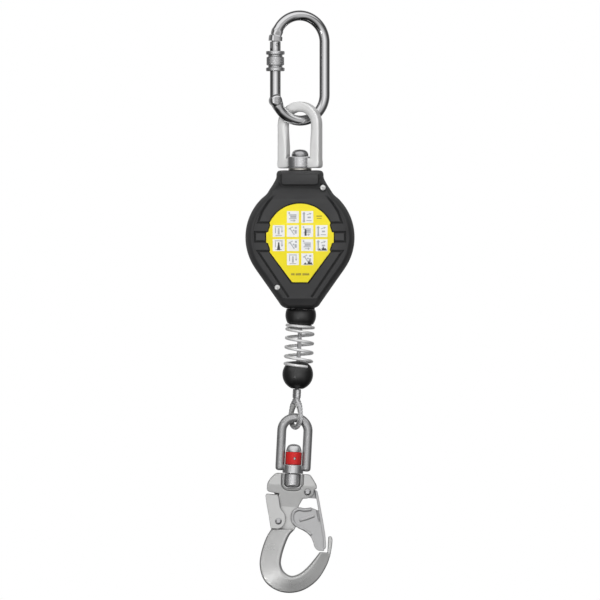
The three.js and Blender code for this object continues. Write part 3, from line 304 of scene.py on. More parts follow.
surface("indicator", (0.62, 0.020, 0.020), 0.42, tint=0.06, grain=1200, bump=0.2, painted_shade=0.8)

# Each slot of the record has a finish of its own name.
for subpart in frame["record"]["subparts"]:
    node = frame["nodes"][subpart["node"]]
    node.data.materials.clear()
    node.data.materials.append(materials[subpart["material_slot"]])

# ---------------------------------------------------------------- mesh building

TOUCHING = 1e-5                       # points closer than this are one point
TORN_GAP = 0.02                       # a tear narrower than this is drawn together


@contextmanager
def editing(obj):
    """An object's mesh as a bmesh, written back afterwards."""
    builder = bmesh.new()
    builder.from_mesh(obj.data)
    yield builder
    builder.to_mesh(obj.data)
    builder.free()


def mesh_object(vertices, faces):
    mesh = bpy.data.meshes.new("solid")
    mesh.from_pydata([tuple(v) for v in vertices], [], faces)
    obj = bpy.data.objects.new("solid", mesh)
    bpy.context.scene.collection.objects.link(obj)
    with editing(obj) as builder:
        bmesh.ops.remove_doubles(builder, verts=builder.verts, dist=TOUCHING)
        bmesh.ops.recalc_face_normals(builder, faces=builder.faces)
    return obj


def skin(rings, loop=False):
    """A surface over rings of equally many points, closed at both ends unless the rings make a loop."""
    size = len(rings[0])
    vertices = [p for points in rings for p in points]
    faces = []
    for r in range(len(rings) - (0 if loop else 1)):
        here, there = r * size, (r + 1) % len(rings) * size
        for i in range(size):
            j = (i + 1) % size
            faces.append((here + i, here + j, there + j, there + i))
    if not loop:
        faces.append(tuple(range(size)))
        faces.append(tuple(len(vertices) - size + i for i in range(size)))
    return mesh_object(vertices, faces)


def rounded(corners, steps=5, closed=True):
    """Corner points (a, b, radius) as a fine outline."""
    points = []
    count = len(corners)
    for i, corner in enumerate(corners):
        here = Vector(corner[:2])
        radius = corner[2] if len(corner) > 2 else 0
        if radius <= 0 or (not closed and i in (0, count - 1)):
            points.append(here)
            continue
        before = Vector(corners[i - 1][:2]) - here
        after = Vector(corners[(i + 1) % count][:2]) - here
        reach = min(radius, before.length * 0.49, after.length * 0.49)
        start, end = here + before.normalized() * reach, here + after.normalized() * reach
        for k in range(steps + 1):
            t = k / steps
            points.append(start * (1 - t) ** 2 + here * 2 * t * (1 - t) + end * t ** 2)
    return points


def turned(corners, sides=72, axis="Z"):
    """A turned solid from (radius, height, rounding) corners that start and end on the axis."""
    return revolve([(p.x, p.y, 0) for p in rounded(corners, 4, closed=False)], sides, axis)


def turned_ring(corners, sides):
    """A turned ring from (radius, height, rounding) corners all clear of the axis."""
    return revolve([(p.x, p.y, 0) for p in rounded(corners, 4)], sides, "Z", ring=True)


def cylinder(radius, low, high, sides):
    return turned([(0, low), (radius, low), (radius, high), (0, high)], sides)


def revolve(profile, sides, axis, ring=False, relief=None):
    """Turns (radius, height, share) points about an axis, share times relief(angle, height) further out."""
    rings = []
    for k in range(sides):
        angle = TAU * k / sides
        points = []
        for radius, height, amount in profile:
            r = radius + (amount * relief(angle, height) if amount else 0)
            a, b = r * math.cos(angle), r * math.sin(angle)
            points.append((a, b, height) if axis == "Z" else (a, height, -b))
        rings.append(points)
    if ring:
        return skin(rings, loop=True)
    size = len(profile)
    vertices = [p for points in rings for p in points]
    faces = []
    for k in range(sides):
        here, there = k * size, (k + 1) % sides * size
        for i in range(size - 1):
            faces.append((here + i, here + i + 1, there + i + 1, there + i))
    obj = mesh_object(vertices, faces)
    drop_flat_faces(obj)
    return obj


def drop_flat_faces(obj):
    """Removes the faces that collapse where a profile meets the axis."""
    with editing(obj) as builder:
        bmesh.ops.dissolve_degenerate(builder, edges=builder.edges, dist=TOUCHING)
        bmesh.ops.recalc_face_normals(builder, faces=builder.faces)


def extruded(near, far):
    """A solid between two outlines of equally many points."""
    size = len(near)
    faces = [tuple(range(size)), tuple(reversed(range(size, 2 * size)))]
    faces += [(i, (i + 1) % size, size + (i + 1) % size, size + i) for i in range(size)]
    return mesh_object(near + far, faces)


def prism(outline, y0, y1, bevel=0.0):
    """A plate with that outline in X and Z between two depths, its face edges rounded."""
    obj = extruded(*[[(p[0], y, p[1]) for p in outline] for y in (y0, y1)])
    if bevel:
        with editing(obj) as builder:
            rims = [e for e in builder.edges if abs(e.verts[0].co.y - e.verts[1].co.y) < 1e-6]
            bmesh.ops.bevel(builder, geom=rims, offset=bevel, segments=3, profile=0.5, affect="EDGES",
                            clamp_overlap=True)
    return obj


def wedge(outline, x0, x1):
    """A plate with that outline in Y and Z between two places along X."""
    return extruded(*[[(x, y, z) for y, z in outline] for x in (x0, x1)])


def span(side, a, b):
    """Two depths on one side of the middle plane, the lower first."""
    return sorted((side * a, side * b))


def block(x0, x1, y0, y1, z0, z1):
    return prism([(x0, z0), (x1, z0), (x1, z1), (x0, z1)], y0, y1)


def circle(x, z, radius, sides=20):
    angles = [TAU * k / sides for k in range(sides)]
    return [(x + radius * math.cos(a), z + radius * math.sin(a)) for a in angles]


def disc(x, z, radius, y0, y1, bevel=0.0, sides=64):
    return prism(circle(x, z, radius, sides), y0, y1, bevel)


def ellipse(a, b, power=2.0, sides=40):
    """A section from round, power 2, to nearly square."""
    def squared(value):
        return math.copysign(abs(value) ** (2 / power), value)

    return [(squared(x) * a, squared(z) * b) for x, z in circle(0, 0, 1, sides)]


def sweep(path, section, flat=True):
    """A section along a path: a list of points, or section(i) for one that changes.
    A flat path lies in X and Z, so the section keeps Y as its second axis."""
    count = len(path)
    rings = []
    side = None
    for i, here in enumerate(path):
        tangent = (path[min(i + 1, count - 1)] - path[max(i - 1, 0)]).normalized()
        if flat:
            side = tangent.cross(Y_AXIS).normalized()
        else:
            guess = side or (Vector((1, 0, 0)) if abs(tangent.x) < 0.9 else Y_AXIS)
            side = (guess - tangent * guess.dot(tangent)).normalized()
        other = tangent.cross(side)
        if flat and other.y < 0:
            other = -other
        points = section(i) if callable(section) else section
        rings.append([here + side * a + other * b for a, b in points])
    return skin(rings)


def xz(x, z, y=0.0):
    return Vector((x, y, z))


def within(share):
    return min(1, max(0, share))


def arc(cx, cz, radius, start, end, steps):
    angles = (math.radians(start + (end - start) * k / steps) for k in range(steps + 1))
    return [xz(cx + radius * math.cos(a), cz + radius * math.sin(a)) for a in angles]


def straight(a, b, steps):
    """Points between two ends, without the ends."""
    return [a.lerp(b, k / steps) for k in range(1, steps)]


def moved(obj, x, z):
    obj.data.transform(Matrix.Translation((x, 0, z)))
    return obj


def spline(points, steps):
    """A smooth line through points, centripetal so that it doesn't overshoot."""
    ends = [points[0] * 2 - points[1]] + list(points) + [points[-1] * 2 - points[-2]]
    line = []
    for p0, p1, p2, p3 in zip(ends, ends[1:], ends[2:], ends[3:]):
        t1 = (p1 - p0).length ** 0.5 or 1e-6
        t2 = t1 + ((p2 - p1).length ** 0.5 or 1e-6)
        t3 = t2 + ((p3 - p2).length ** 0.5 or 1e-6)
        for k in range(steps):
            t = t1 + (t2 - t1) * k / steps
            a = p0 * ((t1 - t) / t1) + p1 * (t / t1)
            b = p1 * ((t2 - t) / (t2 - t1)) + p2 * ((t - t1) / (t2 - t1))
            c = p2 * ((t3 - t) / (t3 - t2)) + p3 * ((t - t2) / (t3 - t2))
            d = a * ((t2 - t) / t2) + b * (t / t2)
            e = b * ((t3 - t) / (t3 - t1)) + c * ((t - t1) / (t3 - t1))
            line.append(d * ((t2 - t) / (t2 - t1)) + e * ((t - t1) / (t2 - t1)))
    return line + [points[-1]]


def distances(path):
    """How far along a path each of its points is."""
    lengths = [0.0]
    for a, b in zip(path, path[1:]):
        lengths.append(lengths[-1] + (b - a).length)
    return lengths


def evenly(path, spacing):
    """The same line with points a given distance apart."""
    lengths = distances(path)
    count = max(2, round(lengths[-1] / spacing))
    line = []
    k = 0
    for i in range(count + 1):
        want = lengths[-1] * i / count
        while k < len(path) - 2 and lengths[k + 1] < want:
            k += 1
        share = (want - lengths[k]) / ((lengths[k + 1] - lengths[k]) or 1)
        line.append(path[k].lerp(path[k + 1], min(1, share)))
    return line


def settle(obj):
    """Applies an object's modifiers."""
    graph = bpy.context.evaluated_depsgraph_get()
    mesh = bpy.data.meshes.new_from_object(obj.evaluated_get(graph))
    obj.modifiers.clear()
    obj.data = mesh
    return obj


def mend(obj):
    """Closes the pinholes that a boolean leaves where two surfaces nearly meet."""
    with editing(obj) as builder:
        torn = [edge for edge in builder.edges if len(edge.link_faces) != 2]
        if torn:
            corners = {vertex for edge in torn for vertex in edge.verts}
            bmesh.ops.remove_doubles(builder, verts=list(corners), dist=TORN_GAP)
            torn = [edge for edge in builder.edges if len(edge.link_faces) < 2]
            bmesh.ops.holes_fill(builder, edges=torn, sides=0)


def combine(obj, others, operation):
    for other in others:
        modifier = obj.modifiers.new("combine", "BOOLEAN")
        modifier.operation = operation
        modifier.object = other
        modifier.solver = "EXACT"
        settle(obj)
        mend(obj)
        bpy.data.objects.remove(other)
    return obj


def join(obj, *others):
    return combine(obj, others, "UNION")


def cut(obj, *others):
    return combine(obj, others, "DIFFERENCE")


def forged(obj, voxel, smoothing=3):
    """Melts joined shapes into one skin with soft corners, like a forging."""
    remesh = obj.modifiers.new("forge", "REMESH")
    remesh.mode = "VOXEL"
    remesh.voxel_size = voxel
    soften = obj.modifiers.new("soften", "SMOOTH")
    soften.factor = 0.5
    soften.iterations = smoothing
    return settle(obj)


def merged(*objs):
    """Several closed solids as one mesh."""
    builder = bmesh.new()
    for obj in objs:
        builder.from_mesh(obj.data)
    for obj in objs[1:]:
        bpy.data.objects.remove(obj)
    builder.to_mesh(objs[0].data)
    builder.free()
    return objs[0]


def keep(obj, name, body, nodes, finish, place=WORLD, sharp=38):
    """Puts a finished piece in the frame, hangs it on the body it rides on, and hides the CAD nodes it stands
    for.
    """
    obj.name = name
    obj.data.name = name
    obj.data.transform(Matrix.Scale(MM, 4) @ place)
    obj.data.materials.clear()
    obj.data.materials.append(materials[finish])
    with editing(obj) as builder:
        for face in builder.faces:
            face.smooth = True
            face.material_index = 0
        for edge in builder.edges:
            edge.smooth = len(edge.link_faces) == 2 and edge.calc_face_angle(0) < math.radians(sharp)
    if body:
        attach(obj, body)
    if nodes:
        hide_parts(*nodes)
    return obj


# ---------------------------------------------------------------- carabiner

nose_angle = 180 - math.degrees(math.asin((NOSE_Z - BOW_TOP) / BOW))
carabiner_path = (
    arc(0, BOW_TOP, BOW, nose_angle, 0, 72)
    + straight(xz(BOW, BOW_TOP), xz(BOW, BOW_BOTTOM), 24)
    + arc(0, BOW_BOTTOM, BOW, 0, -163, 64)
)
path_length = distances(carabiner_path)


def carabiner_section(i):
    """Round, but squared and wider at the nose and at the hinge, with a step behind the nose."""
    past_nose, to_hinge = path_length[i], path_length[-1] - path_length[i]
    nose, hinge = within(1.5 - past_nose / 9), within(1 - to_hinge / 9)
    swell = nose * nose * (3 - 2 * nose)
    grip = hinge * hinge * (3 - 2 * hinge)
    size = BAR_DRAWN - 1.1 * within(past_nose - 4.2) * within((9.6 - past_nose) / 4.2)
    return ellipse(size + 0.9 * swell + 0.3 * grip, size + 0.2 * swell, 2 + 3.0 * swell + 2 * grip, 48)


tongue = prism(rounded([
    (-27.8, NOSE_Z + 2), (-27.8, -26.4, 1.2), (-22.0, -26.4, 0.8), (-22.0, LATCH_PIN_Z - 1.7),
    (-26.2, LATCH_PIN_Z - 1.7, 1), (-26.2, LATCH_PIN_Z + 1.7, 1), (-22.0, LATCH_PIN_Z + 1.7),
    (-22.0, NOSE_Z + 2),
]), -1.8, 1.8, 0.25)
frame_body = join(sweep(carabiner_path, carabiner_section), disc(*GATE_PIN, 5.6, -5.1, 5.1, 2.4), tongue)
cut(
    frame_body,
    disc(*GATE_PIN, 5.0, -2.4, 2.4),
    block(GATE_PIN[0] - 5.0, GATE_PIN[0] + 10, -2.4, 2.4, GATE_PIN[1] - 1.5, GATE_PIN[1] + 9),
    disc(*GATE_PIN, 1.64, -7, 7),
)
keep(frame_body, "carabiner_frame_forged", "carabiner", ["carabiner_frame"], "polished",
     CARABINER)


def rivet(x, z, radius, half, dome, head=None):
    """A pin along Y with a slightly domed head at each end."""
    head = head or radius
    side = [(0, half + dome), (head * 0.6, half + dome * 0.85, 0.3), (head, half + dome * 0.2, 0.3)]
    corners = side + ([(head, half - 0.4, 0.1), (radius, half - 0.4)] if head > radius else [])
    mirrored = [(c[0], -c[1]) + tuple(c[2:]) for c in reversed(corners)]
    return moved(turned(corners + mirrored, 40, "Y"), x, z)


keep(rivet(*GATE_PIN, 1.6, 5.05, 0.04), "gate_hinge_pin_round", "carabiner", ["gate_hinge_pin"],
     "polished", CARABINER)

gate_body = moved(turned([
    (0, GATE_PIN[1] + 2), (BAR, GATE_PIN[1] + 2), (BAR, NOSE_Z - 0.5, 0.9), (0, NOSE_Z - 0.5),
], 80), -BOW, 0)
cut(gate_body, disc(*GATE_PIN, 6.1, -7, 7, sides=96))
join(
    gate_body,
    disc(*GATE_PIN, 4.5, -2.1, 2.1, 0.3),
    block(GATE_PIN[0] - 4.4, GATE_PIN[0] + 4.0, -2.1, 2.1, GATE_PIN[1], GATE_PIN[1] + 8),
)
cut(
    gate_body,
    block(-32, -17, -2.1, 2.1, -27.4, -15),
    disc(-BOW, LATCH_PIN_Z, 1.6, -7, 7),
    disc(*GATE_PIN, 1.9, -7, 7),
)
keep(gate_body, "carabiner_gate_turned", "carabiner_gate", ["carabiner_gate"], "polished",
     CARABINER)
keep(rivet(-BOW, LATCH_PIN_Z, 1.3, 4.5, 0.25), "gate_latch_pin_round", "carabiner_gate", ["gate_latch_pin"],
     "polished", CARABINER)


def knurl(angle, height):
    """Crossing ridges, as a knurling wheel leaves them."""
    teeth = 30
    turn, twist = teeth / 2 * angle, 1.9 * (height - (SLEEVE_TOP + SLEEVE_BOTTOM) / 2)
    return 1 - max(abs(math.sin(turn + twist)), abs(math.sin(turn - twist)))


def screw_sleeve():
    """A collar at each end and a knurled band between two waists."""
    low, high, full = SLEEVE_BOTTOM, SLEEVE_TOP, SLEEVE_RADIUS
    middle, waist, bore = (low + high) / 2, full - 2.1, BAR + 0.3
    corners = [
        (bore, low), (full, low, 0.8), (full, low + 3.0, 0.5), (waist, low + 3.7, 0.3),
        (waist, middle - 4.3, 0.3), (full - 0.5, middle - 3.6, 0.3), (full - 0.5, middle + 3.6, 0.3),
        (waist, middle + 4.3, 0.3), (waist, high - 3.7, 0.3), (full, high - 3.0, 0.5), (full, high, 0.8),
        (bore, high),
    ]
    profile = []
    outline = rounded(corners, 4)
    for a, b in zip(outline, outline[1:] + outline[:1]):
        profile.append((a.x, a.y, 0))
        in_band = max(abs(a.y - middle), abs(b.y - middle)) < 3.7 and abs(b.y - a.y) > 2
        if a.x > waist and in_band:
            profile += [(p.x, p.y, -0.3) for p in straight(a, b, 26)]
    return moved(revolve(profile, 240, "Z", True, knurl), -BOW, 0)


keep(screw_sleeve(), "screw_sleeve_knurled", "screw_sleeve", ["screw_sleeve"], "turned",
     CARABINER, 50)

# ---------------------------------------------------------------- swivel eye and stud

eye_path = (
    straight(xz(-EYE_SPREAD, EYE_FOOT + 3), xz(-EYE_SPREAD, EYE_ARCH), 20)
    + arc(0, EYE_ARCH, EYE_SPREAD, 180, 0, 56)
    + straight(xz(EYE_SPREAD, EYE_ARCH), xz(EYE_SPREAD, EYE_FOOT + 3), 20)
)
eye_reach = EYE_SPREAD + EYE_BAR
eye_base = prism(rounded([
    (-eye_reach, EYE_FOOT, 3), (eye_reach, EYE_FOOT, 3), (eye_reach, BOSS_TOP - 4),
    (eye_reach - 9.6, BOSS_TOP - 1.5, 2), (9.6 - eye_reach, BOSS_TOP - 1.5, 2), (-eye_reach, BOSS_TOP - 4),
]), -EYE_BAR, EYE_BAR, 1.1)
eye_boss = turned([
    (0, EYE_FOOT), (BOSS_RADIUS - 0.2, EYE_FOOT, 0.9), (BOSS_RADIUS - 0.2, BOSS_TOP - 0.3, 1.3),
    (0, BOSS_TOP - 0.3),
], 96)


def eye_section(i):
    """Nearly square, but rounder inside the arch, where the carabiner rolls."""
    square, round_bar = (ellipse(EYE_BAR, EYE_BAR, power, 64) for power in (5.5, 2.05))
    share = within((min(i, len(eye_path) - 1 - i) - 8) / 8)
    return [Vector(hard).lerp(Vector(soft), share if hard[0] < 0 else 0)
            for hard, soft in zip(square, round_bar)]


eye_body = join(sweep(eye_path, eye_section), eye_base, eye_boss)
cut(eye_body, cylinder(5.3, EYE_FOOT - 1, BOSS_TOP + 1, 64))
boss_face = turned_ring([
    (9, EYE_FOOT + 0.4), (BOSS_RADIUS, EYE_FOOT + 0.4, 0.9), (BOSS_RADIUS, BOSS_TOP - 0.1, 1.3),
    (9, BOSS_TOP - 0.1),
], 96)
keep(boss_face, "swivel_boss_turned", "swivel_eye", [], "turned", SHACKLE)
keep(eye_body, "swivel_eye_forged", "swivel_eye", ["swivel_eye"], "satin", SHACKLE)

stud_top = BOSS_TOP + 0.3
keep(turned([
    (0, -175), (5.0, -175, 0.6), (5.0, stud_top), (7.9, stud_top, 0.2), (7.9, stud_top + 1.6, 0.8),
    (6.9, stud_top + 4.2, 1.2), (4.4, stud_top + 5.9, 1.4), (0, stud_top + 6.4),
], 80), "swivel_stud_domed", "housing", ["swivel_stud"], "steel")
keep(turned_ring([
    (5.3, -139.0), (10.8, -139.0, 0.4), (10.8, -137.3, 0.4), (5.3, -137.3),
], 80), "thrust_washer_turned", "housing", ["thrust_washer"], "washer")

# ---------------------------------------------------------------- housing


def case_outline(inset):
    """The housing's outline about the drum's axis, pulled in by an inset."""
    r = CASE_RADIUS - inset
    corner, turn = xz(22.0 - inset, CASE_TOP - inset), max(0.5, 4.0 - inset * 0.5)
    right = [
        xz(6 - inset * 0.3, corner.z), xz(corner.x - turn, corner.z),
        corner + xz(-0.36 * turn, -0.2 * turn), corner + xz(-0.06 * turn, -0.75 * turn),
        xz(22.0 - inset, 55.5 - inset * 0.6),
        xz(24.4 - inset * 0.9, 50.4 - inset * 0.4), xz(27.6 - inset * 0.85, 45.4 - inset * 0.6),
    ]
    right += arc(0, 0, r, 52, -math.degrees(FLANK), 12)
    low = CASE_FOOT + inset
    run = (-low - r * math.sin(FLANK)) / math.cos(FLANK)
    corner = xz(r * math.cos(FLANK) - run * math.sin(FLANK), low)
    flank_top = right[-1]
    along = (corner - flank_top).normalized()
    right += [flank_top + along * (run * share) for share in (0.3, 0.6, 0.85)]
    right += [corner - along * 3.2, corner + xz(-0.6, 0.9), corner + xz(-3.4, 0), xz(4, low)]
    outline = spline(right, 4)
    return outline + [xz(-p.x, p.z) for p in reversed(outline)]


def case_shell(side, profile):
    """The outline drawn in and moved outwards in steps of (inset, depth)."""
    return skin([[xz(p.x, p.z, side * depth) for p in case_outline(inset)] for inset, depth in profile])


LABEL_TOP = 13.0
LABEL_SIDES = [(-27.5, 11.0), (-29.5, 4.6), (-31.2, 4.2), (-31.2, -5.1), (-29.6, -5.6), (-27.6, -11.6),
               (-28.2, -13.6), (-7.2, -41.8)]


def label_outline(grow=0.0):
    """Round above, stepped at the sides and tapering below, about the drum's axis."""
    radius = 31 + grow
    start = math.degrees(math.asin(LABEL_TOP / radius))
    points = [Vector((p.x, p.z)) for p in arc(0, 0, radius, start, 180 - start, 48)]
    left = [Vector((x - grow, z - (grow if z < -40 else 0))) for x, z in LABEL_SIDES]
    return points + left + [Vector((-p.x, p.y)) for p in reversed(left)]


GROOVE_WIDTH, GROOVE_DEPTH = 1.7, 1.4
LIP_WIDTH, LIP_DEPTH = 0.35, 0.22


def groove(points, side):
    """Two cutters for a groove along points on a cover's face: its channel, and its softened lip."""
    line = [Vector(p) for p in points]
    cutters = []
    for half, deep in ((GROOVE_WIDTH / 2, GROOVE_DEPTH), (GROOVE_WIDTH / 2 + LIP_WIDTH, LIP_DEPTH)):
        left, right = [], []
        for i, here in enumerate(line):
            before = (here - line[i - 1]).normalized() if i else None
            after = (line[i + 1] - here).normalized() if i + 1 < len(line) else None
            before, after = before or after, after or before
            normal = Vector((-before.y - after.y, before.x + after.x)).normalized()
            reach = half / max(0.3, normal.dot(Vector((-before.y, before.x))))
            left.append(here + normal * reach)
            right.append(here - normal * reach)
        cutters.append(prism(left + right[::-1], *span(side, FACE - deep, FACE + 1.5)))
    return cutters


SCREWS = {
    "cover_screw_1": (21.2, 45.8, -1), "cover_screw_2": (-21.0, -46.6, -1),
    "cover_screw_3": (-21.2, 45.8, 1), "cover_screw_4": (21.0, -46.6, 1),
}


def cover(side):
    """One half of the casing: a rounded shell with a rim round its face."""
    rim = [
        (0.0, 0.15), (0.0, 11), (0.4, 16), (1.2, 21), (2.2, 25), (3.2, 28), (4.0, 29.8), (4.7, 31.0),
        (5.3, 31.6), (5.9, RIM_TOP), (6.5, 31.75), (7.0, 31.45), (7.5, FACE),
    ]
    inside = [(2.7, -1), (2.7, 15), (4.4, 23.0), (6.4, 27.2), (9.4, 28.7)]
    body = cut(case_shell(side, rim), case_shell(side, inside))
    join(body, block(-23.3, 23.3, *span(side, 26, 29.3), 33, 48.9))
    brow = [(33.1, 49.03), (31.87, 49.03), (30.03, 47.83), (28.53, 44.17), (28.63, 42.87), (31.17, 35.41),
            (33.1, 34.97)]
    chin = [(31.3, -56.6), (24.6, -66.6), (40, -67), (40, -56.6)]
    for valley, reach in ((brow, 44.3), (chin, 30)):
        cut(body, wedge([(side * y, z) for y, z in valley], -reach, reach))
    cut(body, prism(rounded([
        (-20.0, 46.0, 5.4), (20.0, 46.0, 5.4), (20.0, 60.9, 2.2), (-20.0, 60.9, 2.2),
    ]), *span(side, MOAT_FLOOR, 40)))
    join(body, prism(rounded([
        (-17.0, 48.4, 3.2), (17.0, 48.4, 3.2), (17.0, 58.9, 1.8), (-17.0, 58.9, 1.8),
    ]), *span(side, 27.5, RIM_TOP), 0.8))
    upper = ((-27.0, 13.4), (-38.7, 13.6), (-35.3, 23.0), (-30.2, 31.2), (-24.6, 38.2), (-19.1, 43.2))
    lower = ((-27.2, -12.9), (-39.2, -12.9), (-10.6, -55.5))
    pad = ((-31.0, 4.6), (-41.7, 4.6), (-41.7, -4.0), (-31.0, -4.0))
    for mirror in (-1, 1):
        for line in (upper, lower, pad):
            cut(body, *groove([(x * mirror, z) for x, z in line], side))
    for x, z, face in SCREWS.values():
        if face == side:
            cut(body, disc(x, z, 2.95, *span(side, 27.0 if z > 0 else 28.5, 40)))
    seat = cylinder(12.7, 5.46, 9.5, 72)
    seat.data.transform(DRUM.inverted() @ LINE)
    slab = block(-20, 20, *span(side, 0.3, 20), CASE_FOOT - 4, CASE_FOOT + 1.13)
    join(body, combine(slab, [seat], "INTERSECT"))
    return cut(body, moved(cylinder(8.5, CASE_FOOT - 5, CASE_FOOT + 9, 64), 1.1, 0))


front = cut(cover(-1), prism(label_outline(1.1), -FACE - 3, -FACE + 1.5))
keep(front, "front_cover_moulded", "housing", ["front_cover"], "casing", DRUM, 30)
rear = cover(1)
for height in (-24, -12, 12, 24):
    cut(rear, block(-26, 26, FACE - 0.7, FACE + 2, height - 0.6, height + 0.6))
keep(rear, "rear_cover_moulded", "housing", ["rear_cover"], "casing", DRUM, 30)

for name, (x, z, side) in SCREWS.items():
    seat, crown = side * (27.2 if z > 0 else 28.7), side * (FACE + 0.35)
    head = turned([(0, seat), (2.6, seat, 0.1), (2.6, crown - side * 0.7, 0.5), (0, crown)], 40, "Y")
    cut(head, prism(circle(0, 0, 0.95, 6), *span(1, crown - side * 1.0, crown + side * 2)))
    keep(moved(head, x, z), name + "_socket", "housing", [name], "zinc", DRUM)

# ---------------------------------------------------------------- label

LABEL_FACE = -FACE - 0.05
keep(prism(label_outline(), LABEL_FACE, -FACE + 1.45, 0.12), "front_label_film", "housing", ["front_label"],
     "label", DRUM)

TILE = 11.0
TILES = [
    (-6.6, 18.6), (6.7, 18.6), (-19.7, 5.6), (-6.6, 5.6), (6.7, 5.6), (19.9, 5.6),
    (-19.7, -7.4), (-6.6, -7.4), (6.7, -7.4), (19.9, -7.4), (-6.6, -20.4), (6.7, -20.4),
]


def flat_marks(shapes, thickness):
    """Thin printed shapes, outlines in X and Z, standing on the label."""
    return merged(*[prism(shape, LABEL_FACE - thickness, LABEL_FACE + 0.1) for shape in shapes])


def placed(shape, x, z, turn):
    c, s = math.cos(turn), math.sin(turn)
    return [(x + a * c - b * s, z + a * s + b * c) for a, b in shape]


def square(x, z, half_x, half_z, turn=0.0):
    corners = ((-half_x, -half_z), (half_x, -half_z), (half_x, half_z), (-half_x, half_z))
    return placed(corners, x, z, turn)


def arrow(x, z, length, turn):
    neck = length * 0.2
    shape = ((-length, -0.35), (neck, -0.35), (neck, -1.1), (length, 0), (neck, 1.1), (neck, 0.35),
             (-length, 0.35))
    return placed(shape, x, z, turn)


# Generic marks about a tile's middle: four sets of grey ones, and dark ones by the tile's number.
GREY_MARKS = [
    [square(0, 1.9, 3.4, 0.5), square(0.4, 0.2, 2.8, 0.9), square(0, -1.6, 3.4, 0.45),
     circle(-3.4, 3.6, 0.8), arrow(0.2, -3.4, 2.6, 0)],
    [circle(-3.0, 3.2, 1.2), square(-3.0, -0.4, 0.7, 2.6), circle(-3.0, -3.8, 1.1),
     arrow(1.8, 2.8, 2.4, 0.3), square(1.8, -0.4, 1.5, 0.8), square(1.6, -3.4, 2.4, 0.4)],
    [square(0, 3.9, 3.6, 0.4), square(-3.0, 0.6, 0.4, 2.6), arrow(3.0, 0.8, 2.6, -math.pi / 2),
     circle(0, 1.8, 0.9), square(0, -1.2, 0.9, 2.0), square(0, -4.2, 3.0, 0.35)],
    [square(-2.0, 2.8, 2.2, 0.45, 0.5), circle(2.8, 3.0, 1.0), square(2.6, -0.8, 1.0, 1.6),
     square(-0.6, -0.6, 0.45, 3.4, 0.6), circle(0.6, 0.6, 0.8)],
]
PEAKS = [[(x, -5.0), (x + 3.6, -5.0), (x + 1.8, z)] for x, z in ((-3.6, -3.0), (-0.2, -0.9), (1.6, -2.4))]
DARK_MARKS = {
    4: [circle(-1.6, 0.9, 0.8), square(-1.6, -2.0, 0.9, 2.4)],
    6: [circle(0, 1.8, 0.8), [(-1.6, -4.6), (1.6, -4.6), (0.7, 1.0), (-0.7, 1.0)]],
    9: PEAKS, 11: PEAKS,
}


def on_tiles(marks_of):
    """Each tile's marks, moved to their tile."""
    return [placed(shape, x, z, 0) for number, (x, z) in enumerate(TILES) for shape in marks_of(number)]


keep(flat_marks([square(x, z, TILE / 2, TILE / 2) for x, z in TILES], 0.10), "label_tiles", "housing", [],
     "tile", DRUM)
keep(flat_marks(on_tiles(lambda number: GREY_MARKS[number % 4]), 0.16), "label_grey_marks", "housing", [],
     "grey_ink", DRUM)
keep(flat_marks(on_tiles(lambda number: DARK_MARKS.get(number, [])), 0.19), "label_dark_marks", "housing", [],
     "ink", DRUM)
bars = [square(17.8, 19.4, 2.6, 0.5), square(17.8, 17.3, 2.2, 0.4)]
bars += [square(x, -34.4, half, 1.0) for x, half in ((-6.6, 1.6), (-1.4, 2.6), (5.4, 3.2))]
keep(flat_marks(bars, 0.06), "label_bars", "housing", [], "amber_ink", DRUM)

# ---------------------------------------------------------------- buffers and lifeline


def buffer_ball(below, start, end, steps, above):
    """A ball bored for the wire: its round side between two angles, and the corners below and above it."""
    round_side = [(p.x, p.z) for p in arc(0, 0, BUMPER, start, end, steps)]
    return turned_ring(below + round_side + above, 96)


upper_bumper = buffer_ball([(WIRE_BORE, -10.4), (10.6, -10.4, 0.7), (10.6, -8.2)], -35.0, 22.2, 34,
                           [(WIRE_BORE, 5.42)])
keep(upper_bumper, "upper_bumper_moulded", "lifeline", ["upper_bumper"], "rubber", LINE, 50)


def spring_path():
    """Close-wound at the ends, open between: heights of the wire after each whole turn."""
    heights = [-9.85, -13.4, -21.6, -30.2, -38.8, -45.6, -50.2]
    turns, steps, last = 5.36, 66, len(heights) - 1
    points = []
    for k in range(round(turns * steps) + 1):
        turn = k / steps
        whole = min(int(turn), last - 1)
        h = [heights[max(0, min(last, whole + i))] for i in (-1, 0, 1, 2)]
        t = turn - whole
        slope_in, slope_out = (h[2] - h[0]) / 2, (h[3] - h[1]) / 2
        height = (h[1] * (1 + 2 * t) * (1 - t) ** 2 + slope_in * t * (1 - t) ** 2
                  + h[2] * t * t * (3 - 2 * t) - slope_out * t * t * (1 - t))
        angle = math.pi + turn * TAU
        points.append(xz(COIL_RADIUS * math.cos(angle), height, COIL_RADIUS * math.sin(angle)))
    return points


lower_bumper = moved(buffer_ball([(WIRE_BORE, -13.4), (4.9, -13.4, 0.5)], -69.0, 36.0, 58, [
    (9.9, 9.9), (7.6, 11.3), (5.0, 12.0), (WIRE_BORE, 12.2),
]), 0, LOWER_BUMPER_Z)
last_coil = spring_path()[-100:]
cut(lower_bumper, sweep(last_coil, ellipse(1.45, 1.45, 2, 12), flat=False))
keep(lower_bumper, "lower_bumper_moulded", "lifeline", ["lower_bumper"], "rubber", LINE, 50)
keep(sweep(spring_path(), ellipse(1.35, 1.35, 2, 18), flat=False), "bumper_spring_coiled", "lifeline",
     ["bumper_spring"], "coil", LINE, 60)


